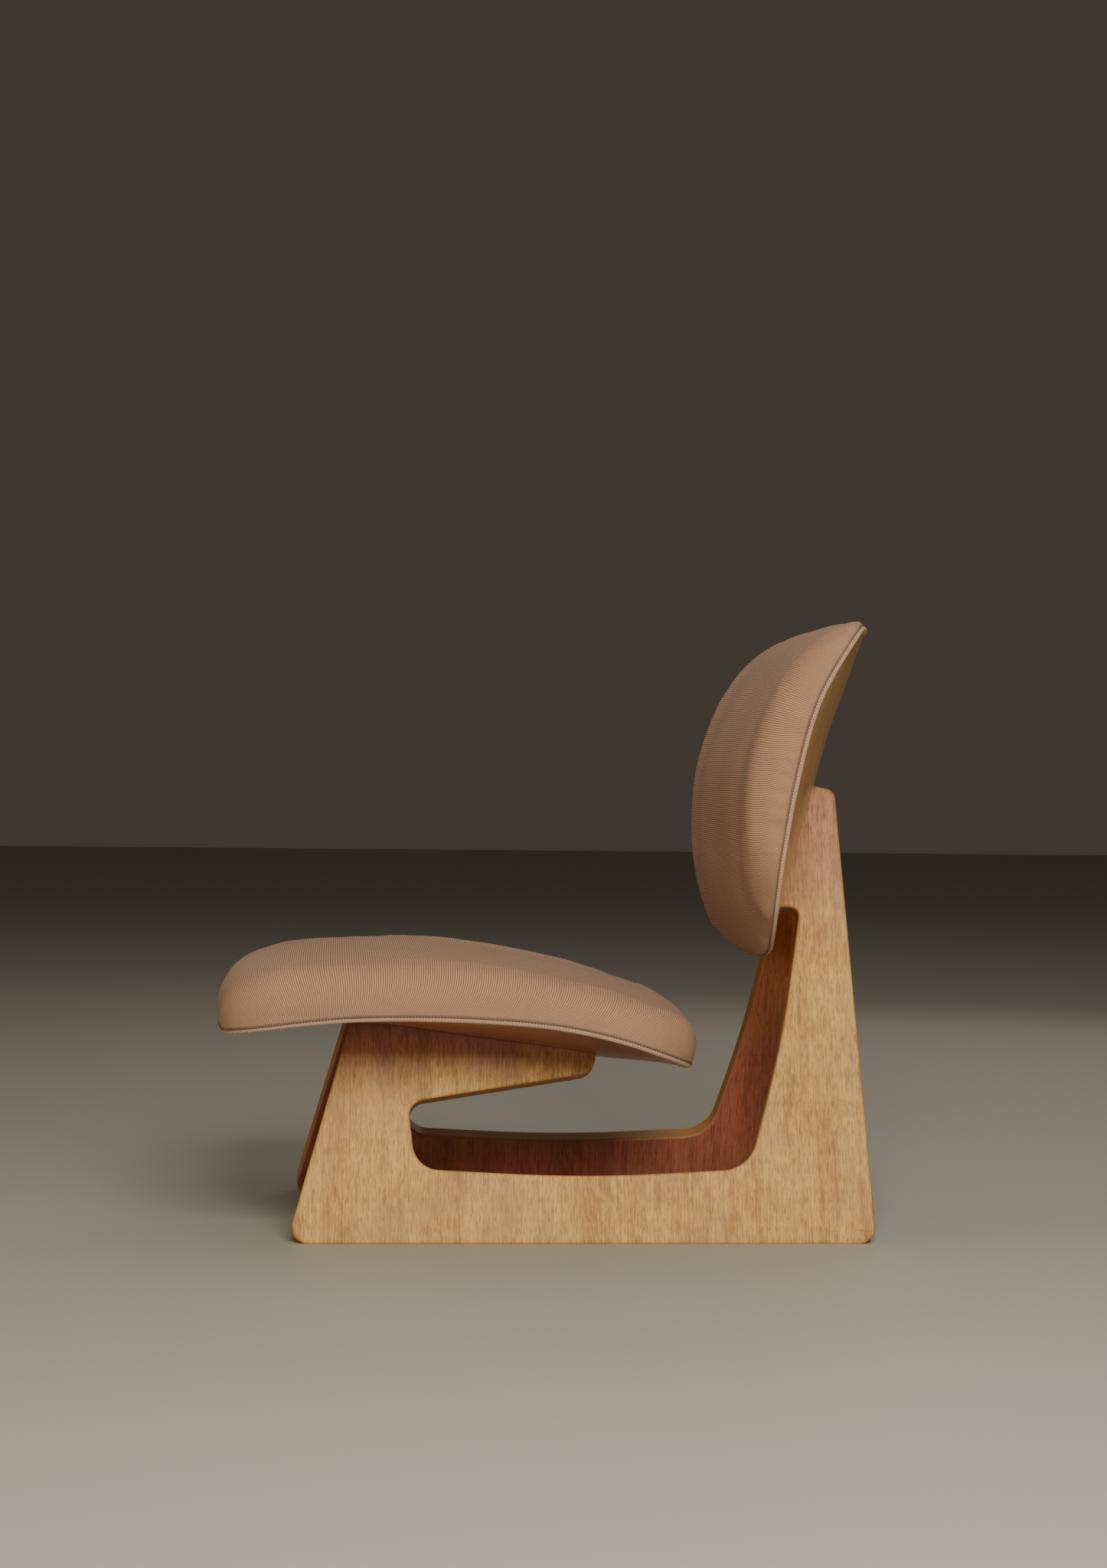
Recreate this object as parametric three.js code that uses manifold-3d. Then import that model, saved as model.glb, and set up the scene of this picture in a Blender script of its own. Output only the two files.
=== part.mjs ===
// Low lounge chair with leaning plywood side panels and two dished, upholstered shells.
// Millimetres, +Z up, front of the chair toward -Y, origin on the floor under the middle of the chair.

import * as THREE from "three";
import * as BufferGeometryUtils from "three/addons/utils/BufferGeometryUtils.js";
import Module from "manifold-3d";

const wasm = await Module();
wasm.setup();

// Working clearances: a seat between two pieces, and how far a cutting tool runs past its work

const clearance = 0.3;
const overrun = 12;
const weld = 0.0001;
const shortest_edge = 0.01;

// Side panels: flat plywood, drawn in their own plane, with y along the floor and w up the slope

const panel_thickness = 25;
const panel_lean = THREE.MathUtils.degToRad(17);
const panel_edge_round = 2.5;
const base_length = 604;
const base_spread = 208;
const base_corner_radius = 18;
const rail_height = 68.5;
const rail_end_rise = 9;
const rail_arc_radius = 1500;
const leg_front_setback = 66;
const leg_rear_foot = 131;
const leg_rear_top = 123;
const window_front_height = 145.6;
const window_lower_radius = 28;
const window_upper_radius = 17;
const arm_reach = 317;
const arm_nose_height = 177.5;
const arm_nose_radius = 19;
const upright_height = 493;
const upright_rear_setback = 26;
const upright_rear_drop = 8;
const upright_top_radius = 12;
const upright_foot = 130;
const upright_foot_radius = 38;
const upright_knee = 90.3;
const upright_knee_height = 215;
const upright_arc_share = 0.548;
const notch_throat = 23.5;
const notch_height = 355.5;
const notch_radius = 9;
const bearing_lip_radius = 4;

// Seat unit: the curve of its lower rim seen from the side, then the dish, the pad and the outline.
// A corner is [length along the unit, width across it].

const unit_width = 540;
const seat_depth = 478;
const seat_overhang = 66.5;
const seat_rim_height = 232;
const seat_run_shares = [0, 0.2735, 0.5668, 0.7761, 1];
const seat_rise_shares = [-0.0355, -0.0036, -0.0052, -0.0303, -0.095];
const seat_dish = 40;
const seat_dish_shares = [0.08, 0.22, 0.46, 0.82, 1, 0.88, 0.42];
const seat_pad_height = 61;
const seat_pad_shares = [1.03, 1.04, 1.11, 0.95, 0.8];
const seat_crown = 20;
const seat_crown_shares = [0.4, 0.35, 0.75, 1.15, 0.95];
const seat_front_corner = [68, 66];
const seat_rear_corner = [80, 62];
const seat_front_bow = 10;
const seat_rear_bow = 6;
const seat_front_roll = 84;
const seat_rear_roll = 40;

// Back unit: the same kind of shell and pad, standing behind the seat

const back_height = 338;
const back_foot_height = 299;
const back_foot_setback = 122.5;
const back_rise_shares = [0, 0.2417, 0.5065, 0.7515, 1];
const back_run_shares = [0, 0.0325, 0.0769, 0.142, 0.2692];
const back_dish = 48;
const back_dish_shares = [0.5, 0.66, 0.86, 1, 1.04, 0.97, 0.72];
const back_pad_height = 64;
const back_pad_shares = [0.46, 0.79, 1.06, 0.94, 0.66];
const back_crown = 18;
const back_crown_shares = [0.4, 0.9, 1.2, 1, 0.9];
const back_foot_corner = [102, 90];
const back_top_corner = [98, 58];
const back_foot_bow = 12;
const back_top_bow = 10;
const back_foot_roll = 94;
const back_top_roll = 84;

// Shared by both units: moulded shell, foam, cover and piping

const side_roll = 44;
const shell_thickness = 9;
const shell_inset = 6;
const cover_thickness = 2;
const cover_hem_height = 4.5;
const piping_radius = 2.6;
const piping_drop = 1.6;
const roll_squareness = 2.5;
const roll_bulge = 3;
const crown_softness = 0.14;

// Cross rails and the dowels that join them to the panels

const rail_thickness = 20;
const rail_depth = 60;
const rail_edge_round = 1.5;
const seat_rail_foot = 138;
const seat_rail_setback = 91;
const back_rail_foot = 236;
const back_rail_setback = 28;
const dowel_radius = 4;
const dowel_length = 28;
const dowel_in_panel = 13;
const dowel_spread = 32;

// Cleats, connector bolts, tee nuts and cleat screws

const cleat_width = 20;
const cleat_height = 24;
const cleat_edge_round = 1.2;
const seat_cleat_length = 190;
const seat_cleat_setback = 107;
const back_cleat_length = 100;
const back_cleat_top_drop = 20;
const cleat_bolt_shares = [0.27, 0.73];
const cleat_screw_shares = [0.09, 0.91];
const bolt_radius = 3;
const bolt_grip = 16;
const bolt_head_radius = 6.5;
const bolt_head_height = 3.2;
const bolt_socket_radius = 2.3;
const bolt_socket_depth = 2;
const bolt_end_gap = 1;
const bolt_hole_play = 0.5;
const tee_barrel_radius = 4.1;
const tee_barrel_length = 5;
const tee_flange_radius = 9;
const tee_flange_thickness = 1.4;
const tee_flange_depth = 1.2;
const screw_radius = 2;
const screw_head_radius = 4;
const screw_head_height = 2.2;
const screw_length = 32;
const screw_tip = 5;

// Facet counts

const side_steps = 9;
const end_steps = 8;
const corner_steps = 5;
const roll_steps = 8;
const round_facets = 10;
const small_facets = 8;
const piping_facets = 6;
const arc_facets = 4;
const profile_steps = 200;

// Finishes

const finishes = {
  panel_veneer: { color: 0xbd9a6b, roughness: 0.5, metalness: 0 },
  shell_veneer: { color: 0x8a5a2c, roughness: 0.42, metalness: 0 },
  rail_wood: { color: 0x74401f, roughness: 0.55, metalness: 0 },
  cover_fabric: { color: 0xa9836a, roughness: 0.92, metalness: 0 },
  piping_fabric: { color: 0xb08770, roughness: 0.9, metalness: 0 },
  foam: { color: 0xd8cba4, roughness: 0.95, metalness: 0 },
  steel: { color: 0x9a9a96, roughness: 0.35, metalness: 0.9 },
  beech: { color: 0xc9a676, roughness: 0.6, metalness: 0 },
};
const materials = {};
for (const [name, finish] of Object.entries(finishes)) {
  materials[name] = new THREE.MeshStandardMaterial({ name, ...finish });
}

const chair = new THREE.Group();

function addPiece(name, geometry, finish) {
  const mesh = new THREE.Mesh(geometry, materials[finish]);
  mesh.name = name;
  chair.add(mesh);
}

// Closed meshes, boolean cuts and mirror images

function welded(geometry) {
  const bare = geometry.clone();
  bare.deleteAttribute("normal");
  bare.deleteAttribute("uv");
  const merged = BufferGeometryUtils.mergeVertices(bare, weld);
  const kept = [];
  const index = merged.index.array;
  for (let i = 0; i < index.length; i += 3) {
    const [a, b, c] = [index[i], index[i + 1], index[i + 2]];
    if (a !== b && b !== c && c !== a) kept.push(a, b, c);
  }
  merged.setIndex(kept);
  return merged;
}

function solidOf(geometry) {
  const merged = welded(geometry);
  const vertProperties = new Float32Array(merged.attributes.position.array);
  const triVerts = new Uint32Array(merged.index.array);
  return new wasm.Manifold(new wasm.Mesh({ numProp: 3, vertProperties, triVerts }));
}

function cut(geometry, tools) {
  let solid = solidOf(geometry);
  for (const tool of tools) solid = solid.subtract(solidOf(tool));
  const mesh = solid.getMesh();
  const result = new THREE.BufferGeometry();
  result.setAttribute("position", new THREE.BufferAttribute(mesh.vertProperties, mesh.numProp));
  result.setIndex(new THREE.BufferAttribute(mesh.triVerts, 1));
  return result;
}

function mirrored(geometry) {
  const twin = geometry.clone();
  const position = twin.attributes.position;
  for (let i = 0; i < position.count; i++) position.setX(i, -position.getX(i));
  const index = twin.index.array;
  for (let i = 0; i < index.length; i += 3) [index[i], index[i + 1]] = [index[i + 1], index[i]];
  return twin;
}

function addPair(name, geometry, finish) {
  const left = welded(geometry);
  addPiece(`${name}_left`, left, finish);
  addPiece(`${name}_right`, mirrored(left), finish);
}

// A turned piece on an axis: profile points are [radius, height above origin along the axis]

function turned(profile, facets, origin, axis) {
  const points = profile.map(([radius, height]) => new THREE.Vector2(radius, height));
  const geometry = new THREE.LatheGeometry(points, facets);
  const turn = new THREE.Quaternion().setFromUnitVectors(new THREE.Vector3(0, 1, 0), axis);
  geometry.applyQuaternion(turn);
  return geometry.translate(origin.x, origin.y, origin.z);
}

function rod(radius, low, high, facets, origin, axis) {
  return turned([[0, low], [radius, low], [radius, high], [0, high]], facets, origin, axis);
}

// Panel frame: y along the floor, w up the leaning face, n out of the outer face

const half_base = base_length / 2;
const panel_frame = new THREE.Matrix4().makeBasis(
  new THREE.Vector3(0, 1, 0),
  new THREE.Vector3(-Math.sin(panel_lean), 0, Math.cos(panel_lean)),
  new THREE.Vector3(Math.cos(panel_lean), 0, Math.sin(panel_lean)),
).setPosition(base_spread, 0, 0);
const panel_normal = new THREE.Vector3(Math.cos(panel_lean), 0, Math.sin(panel_lean));

function onPanel(y, w, n) {
  return new THREE.Vector3(y, w, n).applyMatrix4(panel_frame);
}

function innerFace(z) {
  return base_spread - panel_thickness / Math.cos(panel_lean) - z * Math.tan(panel_lean);
}

// An outline from corner points [y, w, radius], each corner rounded by a true arc

function filletedShape(corners, facets) {
  const shape = new THREE.Shape();
  const count = corners.length;
  for (let i = 0; i < count; i++) {
    const [y, w, radius] = corners[i];
    const corner = new THREE.Vector2(y, w);
    const before = new THREE.Vector2(...corners[(i + count - 1) % count]).sub(corner).normalize();
    const after = new THREE.Vector2(...corners[(i + 1) % count]).sub(corner).normalize();
    const half_angle = Math.acos(before.dot(after)) / 2;
    const reach = radius / Math.tan(half_angle);
    const start = corner.clone().addScaledVector(before, reach);
    const bisector = before.clone().add(after).normalize();
    const centre = corner.clone().addScaledVector(bisector, radius / Math.sin(half_angle));
    const end = corner.clone().addScaledVector(after, reach);
    const clockwise = before.cross(after) > 0;
    if (i === 0) shape.moveTo(start.x, start.y);
    else shape.lineTo(start.x, start.y);
    const from = start.sub(centre).angle();
    const to = end.sub(centre).angle();
    shape.absarc(centre.x, centre.y, radius, from, to, clockwise);
  }
  shape.closePath();
  const points = [];
  for (const point of shape.getPoints(facets)) {
    if (points.every((other) => other.distanceTo(point) > shortest_edge)) points.push(point);
  }
  return new THREE.Shape(points);
}

function slab(shape, thickness, edge_round) {
  const geometry = new THREE.ExtrudeGeometry(shape, {
    depth: thickness - 2 * edge_round,
    bevelEnabled: true,
    bevelThickness: edge_round,
    bevelSize: edge_round,
    bevelOffset: -edge_round,
    bevelSegments: 1,
  });
  return geometry.translate(0, 0, edge_round - thickness);
}

// A dished unit: its rim is a curve seen from the side, and every point lies at a distance
// a along that curve, x across it, and h above the veneered outer face

function makeUnit(sizes) {
  const rim = new THREE.SplineCurve(sizes.rim_points);
  rim.arcLengthDivisions = profile_steps;
  const length = rim.getLength();
  const half_width = unit_width / 2;
  const alongShares = (shares) => {
    const points = shares.map((share, i) => new THREE.Vector2(i / (shares.length - 1), share));
    const curve = new THREE.SplineCurve(points);
    return (a) => curve.getPoint(THREE.MathUtils.clamp(a / length, 0, 1)).y;
  };
  const dishShare = alongShares(sizes.dish_shares);
  const padShare = alongShares(sizes.pad_shares);
  const crownShare = alongShares(sizes.crown_shares);

  function at(a, x, h) {
    const s = THREE.MathUtils.clamp(a / length, 0, 1);
    const tangent = rim.getTangentAt(s);
    const spot = rim.getPointAt(s).addScaledVector(tangent, a - s * length);
    const dish = sizes.dish * dishShare(a);
    const depth = dish * (1 - (x / half_width) ** 2);
    const point = new THREE.Vector3(x, spot.x + tangent.y * depth, spot.y - tangent.x * depth);
    return point.addScaledVector(normalAt(a, x), h);
  }

  function normalAt(a, x) {
    const tangent = rim.getTangentAt(THREE.MathUtils.clamp(a / length, 0, 1));
    const slope = (2 * sizes.dish * dishShare(a) * x) / half_width ** 2;
    return new THREE.Vector3(-slope, -tangent.y, tangent.x).normalize();
  }

  function padHeight(a, x) {
    const fall = 1 - (x / (half_width - side_roll)) ** 2;
    const softened = (fall + Math.hypot(fall, crown_softness)) / 2;
    return sizes.pad_height * padShare(a) + sizes.crown * crownShare(a) * softened;
  }

  // The outline runs up the +x side, across the far end, down the -x side and back across the start
  const stations = [];
  const core = {
    start: sizes.start_roll,
    end: length - sizes.end_roll,
    side: half_width - side_roll,
  };
  const side_start = sizes.start_corner[0];
  const side_end = length - sizes.end_corner[0];
  const lerp = THREE.MathUtils.lerp;
  const station = (a, x, out_a, out_x, core_a, core_x) => {
    stations.push({ a, x, out_a, out_x, core_a, core_x });
  };
  const cornerArc = ([along, across], centre_a, centre_x, from, core_a, core_x) => {
    for (let i = 1; i < corner_steps; i++) {
      const angle = from + (Math.PI / 2) * (i / corner_steps);
      const reach = new THREE.Vector2(Math.sin(angle), Math.cos(angle));
      const spot = new THREE.Vector2(along, across).multiply(reach);
      const outward = new THREE.Vector2(across, along).multiply(reach).normalize();
      station(centre_a + spot.x, centre_x + spot.y, outward.x, outward.y, core_a, core_x);
    }
  };
  for (const side of [1, -1]) {
    const forward = side > 0;
    for (let i = 0; i <= side_steps; i++) {
      const share = forward ? i / side_steps : 1 - i / side_steps;
      station(lerp(side_start, side_end, share), side * half_width, 0, side,
        lerp(core.start, core.end, share), side * core.side);
    }
    const end_a = forward ? side_end : side_start;
    const core_a = forward ? core.end : core.start;
    const corner = forward ? sizes.end_corner : sizes.start_corner;
    const reach = forward ? corner[0] : -corner[0];
    const bow = forward ? sizes.end_bow : -sizes.start_bow;
    const corner_x = side * (half_width - corner[1]);
    const corner_core_x = side * core.side;
    const quarter = Math.PI / 2;
    cornerArc(corner, end_a, corner_x, forward ? 0 : 2 * quarter, core_a, corner_core_x);
    for (let j = 0; j <= end_steps; j++) {
      const share = 1 - (2 * j) / end_steps;
      const out_a = end_a + reach + bow * (1 - share ** 2);
      station(out_a, share * corner_x, side, 0, core_a, side * share * core.side);
    }
    cornerArc(corner, end_a, -corner_x, forward ? quarter : 3 * quarter, core_a, -corner_core_x);
  }
  return { at, normalAt, padHeight, stations, core, length, rim, sizes };
}

// Surfaces over a unit's outline: rings of points from the rim inward, then a grid over the core

function ringPoint(unit, k, inset, share, height) {
  const p = unit.stations[k % unit.stations.length];
  const a = THREE.MathUtils.lerp(p.a - p.out_a * inset, p.core_a, share);
  const x = THREE.MathUtils.lerp(p.x - p.out_x * inset, p.core_x, share);
  return unit.at(a, x, typeof height === "function" ? height(a, x) : height);
}

function addQuad(triangles, a, b, c, d, facing_up) {
  const mirror_half = a.x + b.x + c.x + d.x < 0;
  const [p, q, r, s] = mirror_half ? [b, c, d, a] : [a, b, c, d];
  if (facing_up) triangles.push(p, q, s, q, r, s);
  else triangles.push(p, s, q, q, s, r);
}

function addRings(triangles, unit, rings, facing_up) {
  for (let r = 0; r + 1 < rings.length; r++) {
    const outer = rings[r];
    const inner = rings[r + 1];
    for (let k = 0; k < unit.stations.length; k++) {
      addQuad(triangles,
        ringPoint(unit, k, outer.inset, outer.share, outer.height),
        ringPoint(unit, k + 1, outer.inset, outer.share, outer.height),
        ringPoint(unit, k + 1, inner.inset, inner.share, inner.height),
        ringPoint(unit, k, inner.inset, inner.share, inner.height), facing_up);
    }
  }
}

function addCore(triangles, unit, height, facing_up) {
  const corePoint = (i, j) => {
    const a = THREE.MathUtils.lerp(unit.core.start, unit.core.end, i / side_steps);
    const x = (1 - (2 * j) / end_steps) * unit.core.side;
    return unit.at(a, x, typeof height === "function" ? height(a, x) : height);
  };
  for (let i = 0; i < side_steps; i++) {
    for (let j = 0; j < end_steps; j++) {
      addQuad(triangles,
        corePoint(i, j),
        corePoint(i + 1, j),
        corePoint(i + 1, j + 1),
        corePoint(i, j + 1), facing_up);
    }
  }
}

function fromTriangles(triangles) {
  const geometry = new THREE.BufferGeometry().setFromPoints(triangles);
  return welded(geometry);
}

function plate(unit, inset, low, high) {
  const triangles = [];
  const rim_low = { inset, share: 0, height: low };
  const rim_high = { inset, share: 0, height: high };
  const mid_shares = [0, 0.5, 1];
  addRings(triangles, unit, [rim_low, rim_high], true);
  addRings(triangles, unit, mid_shares.map((share) => ({ inset, share, height: high })), true);
  addRings(triangles, unit, mid_shares.map((share) => ({ inset, share, height: low })), false);
  addCore(triangles, unit, high, true);
  addCore(triangles, unit, low, false);
  return fromTriangles(triangles);
}

// The pad's outer face, drawn in by a skin thickness for the faces under it

function padRings(unit, skin, picked) {
  return picked.map((i) => {
    const angle = (Math.PI / 2) * (i / roll_steps);
    const rise = Math.sin(angle) ** (2 / roll_squareness);
    const share = i < roll_steps ? 1 - Math.cos(angle) ** (2 / roll_squareness) : 1;
    const height = (a, x) => {
      const top = unit.padHeight(a, x) - skin;
      return THREE.MathUtils.lerp(cover_hem_height, top, rise);
    };
    return { inset: skin - roll_bulge * Math.sin(2 * angle), share, height };
  });
}

const every_ring = Array.from({ length: roll_steps + 1 }, (_, i) => i);
const inner_rings = every_ring.filter((i) => i % 2 === 0);

function coverGeometry(unit) {
  const triangles = [];
  const outer = padRings(unit, 0, every_ring);
  const inner = padRings(unit, cover_thickness, inner_rings);
  addRings(triangles, unit, outer, true);
  addRings(triangles, unit, inner, false);
  addRings(triangles, unit, [inner[0], outer[0]], true);
  addCore(triangles, unit, outer.at(-1).height, true);
  addCore(triangles, unit, inner.at(-1).height, false);
  return fromTriangles(triangles);
}

function foamGeometry(unit) {
  const triangles = [];
  const dome = padRings(unit, cover_thickness + clearance, inner_rings);
  const base_core = { inset: 0, share: 1, height: cover_hem_height };
  addRings(triangles, unit, dome, true);
  addRings(triangles, unit, [dome[0], base_core], false);
  addCore(triangles, unit, dome.at(-1).height, true);
  addCore(triangles, unit, cover_hem_height, false);
  const under = plate(unit, shell_inset - clearance, -overrun, shell_thickness + clearance);
  return cut(fromTriangles(triangles), [under]);
}

function pipingGeometry(unit) {
  const triangles = [];
  const inset = shell_inset - clearance - piping_radius;
  const spots = unit.stations.map((p) => {
    const a = p.a - p.out_a * inset;
    const x = p.x - p.out_x * inset;
    const centre = unit.at(a, x, piping_drop);
    const up = unit.normalAt(a, x);
    const outward = unit.at(a + p.out_a, x + p.out_x, piping_drop).sub(centre);
    outward.addScaledVector(up, -outward.dot(up)).normalize();
    return { centre, up, outward };
  });
  const hoopPoint = (k, j) => {
    const { centre, up, outward } = spots[k % spots.length];
    const angle = (2 * Math.PI * j) / piping_facets;
    return centre.clone()
      .addScaledVector(outward, piping_radius * Math.cos(angle))
      .addScaledVector(up, piping_radius * Math.sin(angle));
  };
  for (let k = 0; k < spots.length; k++) {
    for (let j = 0; j < piping_facets; j++) {
      const next = (j + 1) % piping_facets;
      addQuad(triangles,
        hoopPoint(k, j),
        hoopPoint(k + 1, j),
        hoopPoint(k + 1, next),
        hoopPoint(k, next), true);
    }
  }
  return fromTriangles(triangles);
}

const seat_front = -half_base - seat_overhang;
const seat = makeUnit({
  rim_points: seat_run_shares.map((run, i) => new THREE.Vector2(
    seat_front + run * seat_depth,
    seat_rim_height + seat_rise_shares[i] * seat_depth,
  )),
  dish: seat_dish,
  dish_shares: seat_dish_shares,
  pad_height: seat_pad_height,
  pad_shares: seat_pad_shares,
  crown: seat_crown,
  crown_shares: seat_crown_shares,
  start_corner: seat_front_corner,
  end_corner: seat_rear_corner,
  start_bow: seat_front_bow,
  end_bow: seat_rear_bow,
  start_roll: seat_front_roll,
  end_roll: seat_rear_roll,
});

const back = makeUnit({
  rim_points: back_rise_shares.map((rise, i) => new THREE.Vector2(
    half_base - back_foot_setback + back_run_shares[i] * back_height,
    back_foot_height + rise * back_height,
  )),
  dish: back_dish,
  dish_shares: back_dish_shares,
  pad_height: back_pad_height,
  pad_shares: back_pad_shares,
  crown: back_crown,
  crown_shares: back_crown_shares,
  start_corner: back_foot_corner,
  end_corner: back_top_corner,
  start_bow: back_foot_bow,
  end_bow: back_top_bow,
  start_roll: back_foot_roll,
  end_roll: back_top_roll,
});

// What the shells cut out of the pieces that carry them

const units = { seat, back };
const seat_cutter = plate(seat, 0, -clearance, seat_pad_height);
const back_cutter = plate(back, 0, -clearance, back_pad_height);
const bearing_cutters = { seat: seat_cutter, back: back_cutter };

// Where a unit's outer face meets the panel plane, in the panel's own y and w, at a depth n

function bearingPoint(unit, share, n) {
  const a = share * unit.length;
  let x = innerFace(unit.at(a, 0, 0).z);
  for (let pass = 0; pass < 4; pass++) {
    const w = unit.at(a, x, 0).z / Math.cos(panel_lean);
    x = onPanel(0, w, n).x;
  }
  const point = unit.at(a, x, 0);
  return { a, x, point, y: point.y, w: (point.z - n * Math.sin(panel_lean)) / Math.cos(panel_lean) };
}

// Share of a unit's length at which it stands at a given y (seat) or height (back)

function shareWhere(unit, reads, target) {
  let low = 0;
  let high = 1;
  while (high - low > 1 / profile_steps ** 2) {
    const middle = (low + high) / 2;
    if (reads(bearingPoint(unit, middle, 0)) < target) low = middle;
    else high = middle;
  }
  return (low + high) / 2;
}

const seatBearing = (y) => bearingPoint(seat, shareWhere(seat, (p) => p.y, y), 0);
const backBearing = (w) => bearingPoint(back, shareWhere(back, (p) => p.w, w), 0);

// Side panel outline, counter-clockwise from the front foot

const arm_front = -half_base + leg_front_setback;
const arm_end = -half_base + arm_reach;
const upright_rear = half_base - upright_rear_setback;
const notch_corner = [backBearing(notch_height).y + notch_throat, notch_height];
const knee_corner = [half_base - upright_knee, upright_knee_height];
const foot_corner = [half_base - upright_foot, rail_height + rail_end_rise];
const knee_edges = [notch_corner, foot_corner].map(([y, w]) => new THREE.Vector2(y, w)
  .sub(new THREE.Vector2(...knee_corner)));
const knee_angle = Math.acos(knee_edges[0].dot(knee_edges[1]) / knee_edges[0].length() / knee_edges[1].length());
const knee_radius = upright_arc_share * knee_edges[0].length() * Math.tan(knee_angle / 2);
const panel_shape = filletedShape([
  [-half_base, 0, base_corner_radius],
  [half_base, 0, base_corner_radius],
  [upright_rear, upright_height - upright_rear_drop, upright_top_radius],
  [backBearing(upright_height).y - overrun, upright_height, bearing_lip_radius],
  [backBearing(notch_height).y - overrun, notch_height, bearing_lip_radius],
  [...notch_corner, notch_radius],
  [...knee_corner, knee_radius],
  [...foot_corner, upright_foot_radius],
  [0, rail_height, rail_arc_radius],
  [-half_base + leg_rear_foot, rail_height + rail_end_rise, window_lower_radius],
  [-half_base + leg_rear_top, window_front_height, window_upper_radius],
  [arm_end, arm_nose_height, arm_nose_radius],
  [arm_end, seatBearing(arm_end).w + overrun, bearing_lip_radius],
  [arm_front, seatBearing(arm_front).w + overrun, bearing_lip_radius],
], arc_facets);

// Cleats: battens on the inner faces, shaped on top by the shell that they carry

const cleat_face = -panel_thickness - clearance;
const cleat_middle = cleat_face - cleat_width / 2;

function cleatGeometry(corners) {
  const shape = filletedShape(corners.map(([y, w]) => [y, w, bearing_lip_radius]), 1);
  const geometry = slab(shape, cleat_width, cleat_edge_round);
  return geometry.translate(0, 0, cleat_face).applyMatrix4(panel_frame);
}

const seat_cleat_start = -half_base + seat_cleat_setback;
const seat_cleat_end = seat_cleat_start + seat_cleat_length;
const back_cleat_high = upright_height - back_cleat_top_drop;
const back_cleat_low = back_cleat_high - back_cleat_length;
const cleat_blanks = {
  seat: cleatGeometry([
    [seat_cleat_start, seatBearing(seat_cleat_start).w - cleat_height],
    [seat_cleat_end, seatBearing(seat_cleat_end).w - cleat_height],
    [seat_cleat_end, seatBearing(seat_cleat_end).w + overrun],
    [seat_cleat_start, seatBearing(seat_cleat_start).w + overrun],
  ]),
  back: cleatGeometry([
    [backBearing(back_cleat_low).y - overrun, back_cleat_low],
    [backBearing(back_cleat_low).y + cleat_height, back_cleat_low],
    [backBearing(back_cleat_high).y + cleat_height, back_cleat_high],
    [backBearing(back_cleat_high).y - overrun, back_cleat_high],
  ]),
};
const cleat_spans = {
  seat: [
    shareWhere(seat, (p) => p.y, seat_cleat_start),
    shareWhere(seat, (p) => p.y, seat_cleat_end),
  ],
  back: [
    shareWhere(back, (p) => p.w, back_cleat_low),
    shareWhere(back, (p) => p.w, back_cleat_high),
  ],
};

// Bolts come through the cleats from outside into tee nuts let into the shells under the foam

const bolt_hole_radius = bolt_radius + bolt_hole_play;
const tee_flange_low = shell_thickness - tee_flange_depth - tee_flange_thickness;
const bolt_top = tee_flange_low + tee_flange_thickness - bolt_end_gap;

function boltSpots(key) {
  const unit = units[key];
  const [low, high] = cleat_spans[key];
  return cleat_bolt_shares.map((share) => {
    const spot = bearingPoint(unit, THREE.MathUtils.lerp(low, high, share), cleat_middle);
    return { origin: spot.point, axis: unit.normalAt(spot.a, spot.x) };
  });
}

function boltGeometry({ origin, axis }) {
  const blank = turned([
    [0, -bolt_grip - bolt_head_height],
    [bolt_head_radius, -bolt_grip - bolt_head_height],
    [bolt_head_radius, -bolt_grip - clearance],
    [bolt_radius, -bolt_grip - clearance],
    [bolt_radius, bolt_top],
    [0, bolt_top],
  ], round_facets, origin, axis);
  const socket_floor = -bolt_grip - bolt_head_height + bolt_socket_depth;
  const socket = rod(bolt_socket_radius, -bolt_grip - overrun, socket_floor, 6, origin, axis);
  return cut(blank, [socket]);
}

function teeNutGeometry({ origin, axis }) {
  const bore = bolt_radius + clearance;
  const barrel_low = tee_flange_low - tee_barrel_length;
  return turned([
    [bore, barrel_low],
    [tee_barrel_radius, barrel_low],
    [tee_barrel_radius, tee_flange_low],
    [tee_flange_radius, tee_flange_low],
    [tee_flange_radius, tee_flange_low + tee_flange_thickness],
    [bore, tee_flange_low + tee_flange_thickness],
    [bore, barrel_low],
  ], round_facets, origin, axis);
}

function shellHoles(spots) {
  const tools = [];
  for (const { origin, axis } of spots) {
    tools.push(rod(tee_barrel_radius + clearance, -overrun, overrun, round_facets, origin, axis));
    tools.push(rod(tee_flange_radius + clearance, tee_flange_low - clearance, overrun + shell_thickness,
      round_facets, origin, axis));
  }
  return tools;
}

function cleatBoltHoles(spots) {
  const tools = [];
  for (const { origin, axis } of spots) {
    tools.push(rod(bolt_hole_radius, -cleat_height - overrun, overrun, round_facets, origin, axis));
    tools.push(rod(bolt_head_radius + bolt_hole_play, -cleat_height - overrun, -bolt_grip,
      round_facets, origin, axis));
  }
  return tools;
}

// Cleat screws run square to the panel, countersunk in the cleat's inner face

const screw_inset = cleat_face - cleat_width;

function screwSpots(key) {
  const unit = units[key];
  const [low, high] = cleat_spans[key];
  return cleat_screw_shares.map((share) => {
    const spot = bearingPoint(unit, THREE.MathUtils.lerp(low, high, share), cleat_middle);
    const depth = cleat_height / 2;
    const into = unit.normalAt(spot.a, 0).multiplyScalar(-depth);
    const w = spot.w + into.z / Math.cos(panel_lean);
    return { origin: onPanel(spot.y + into.y, w, screw_inset), axis: panel_normal };
  });
}

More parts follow.
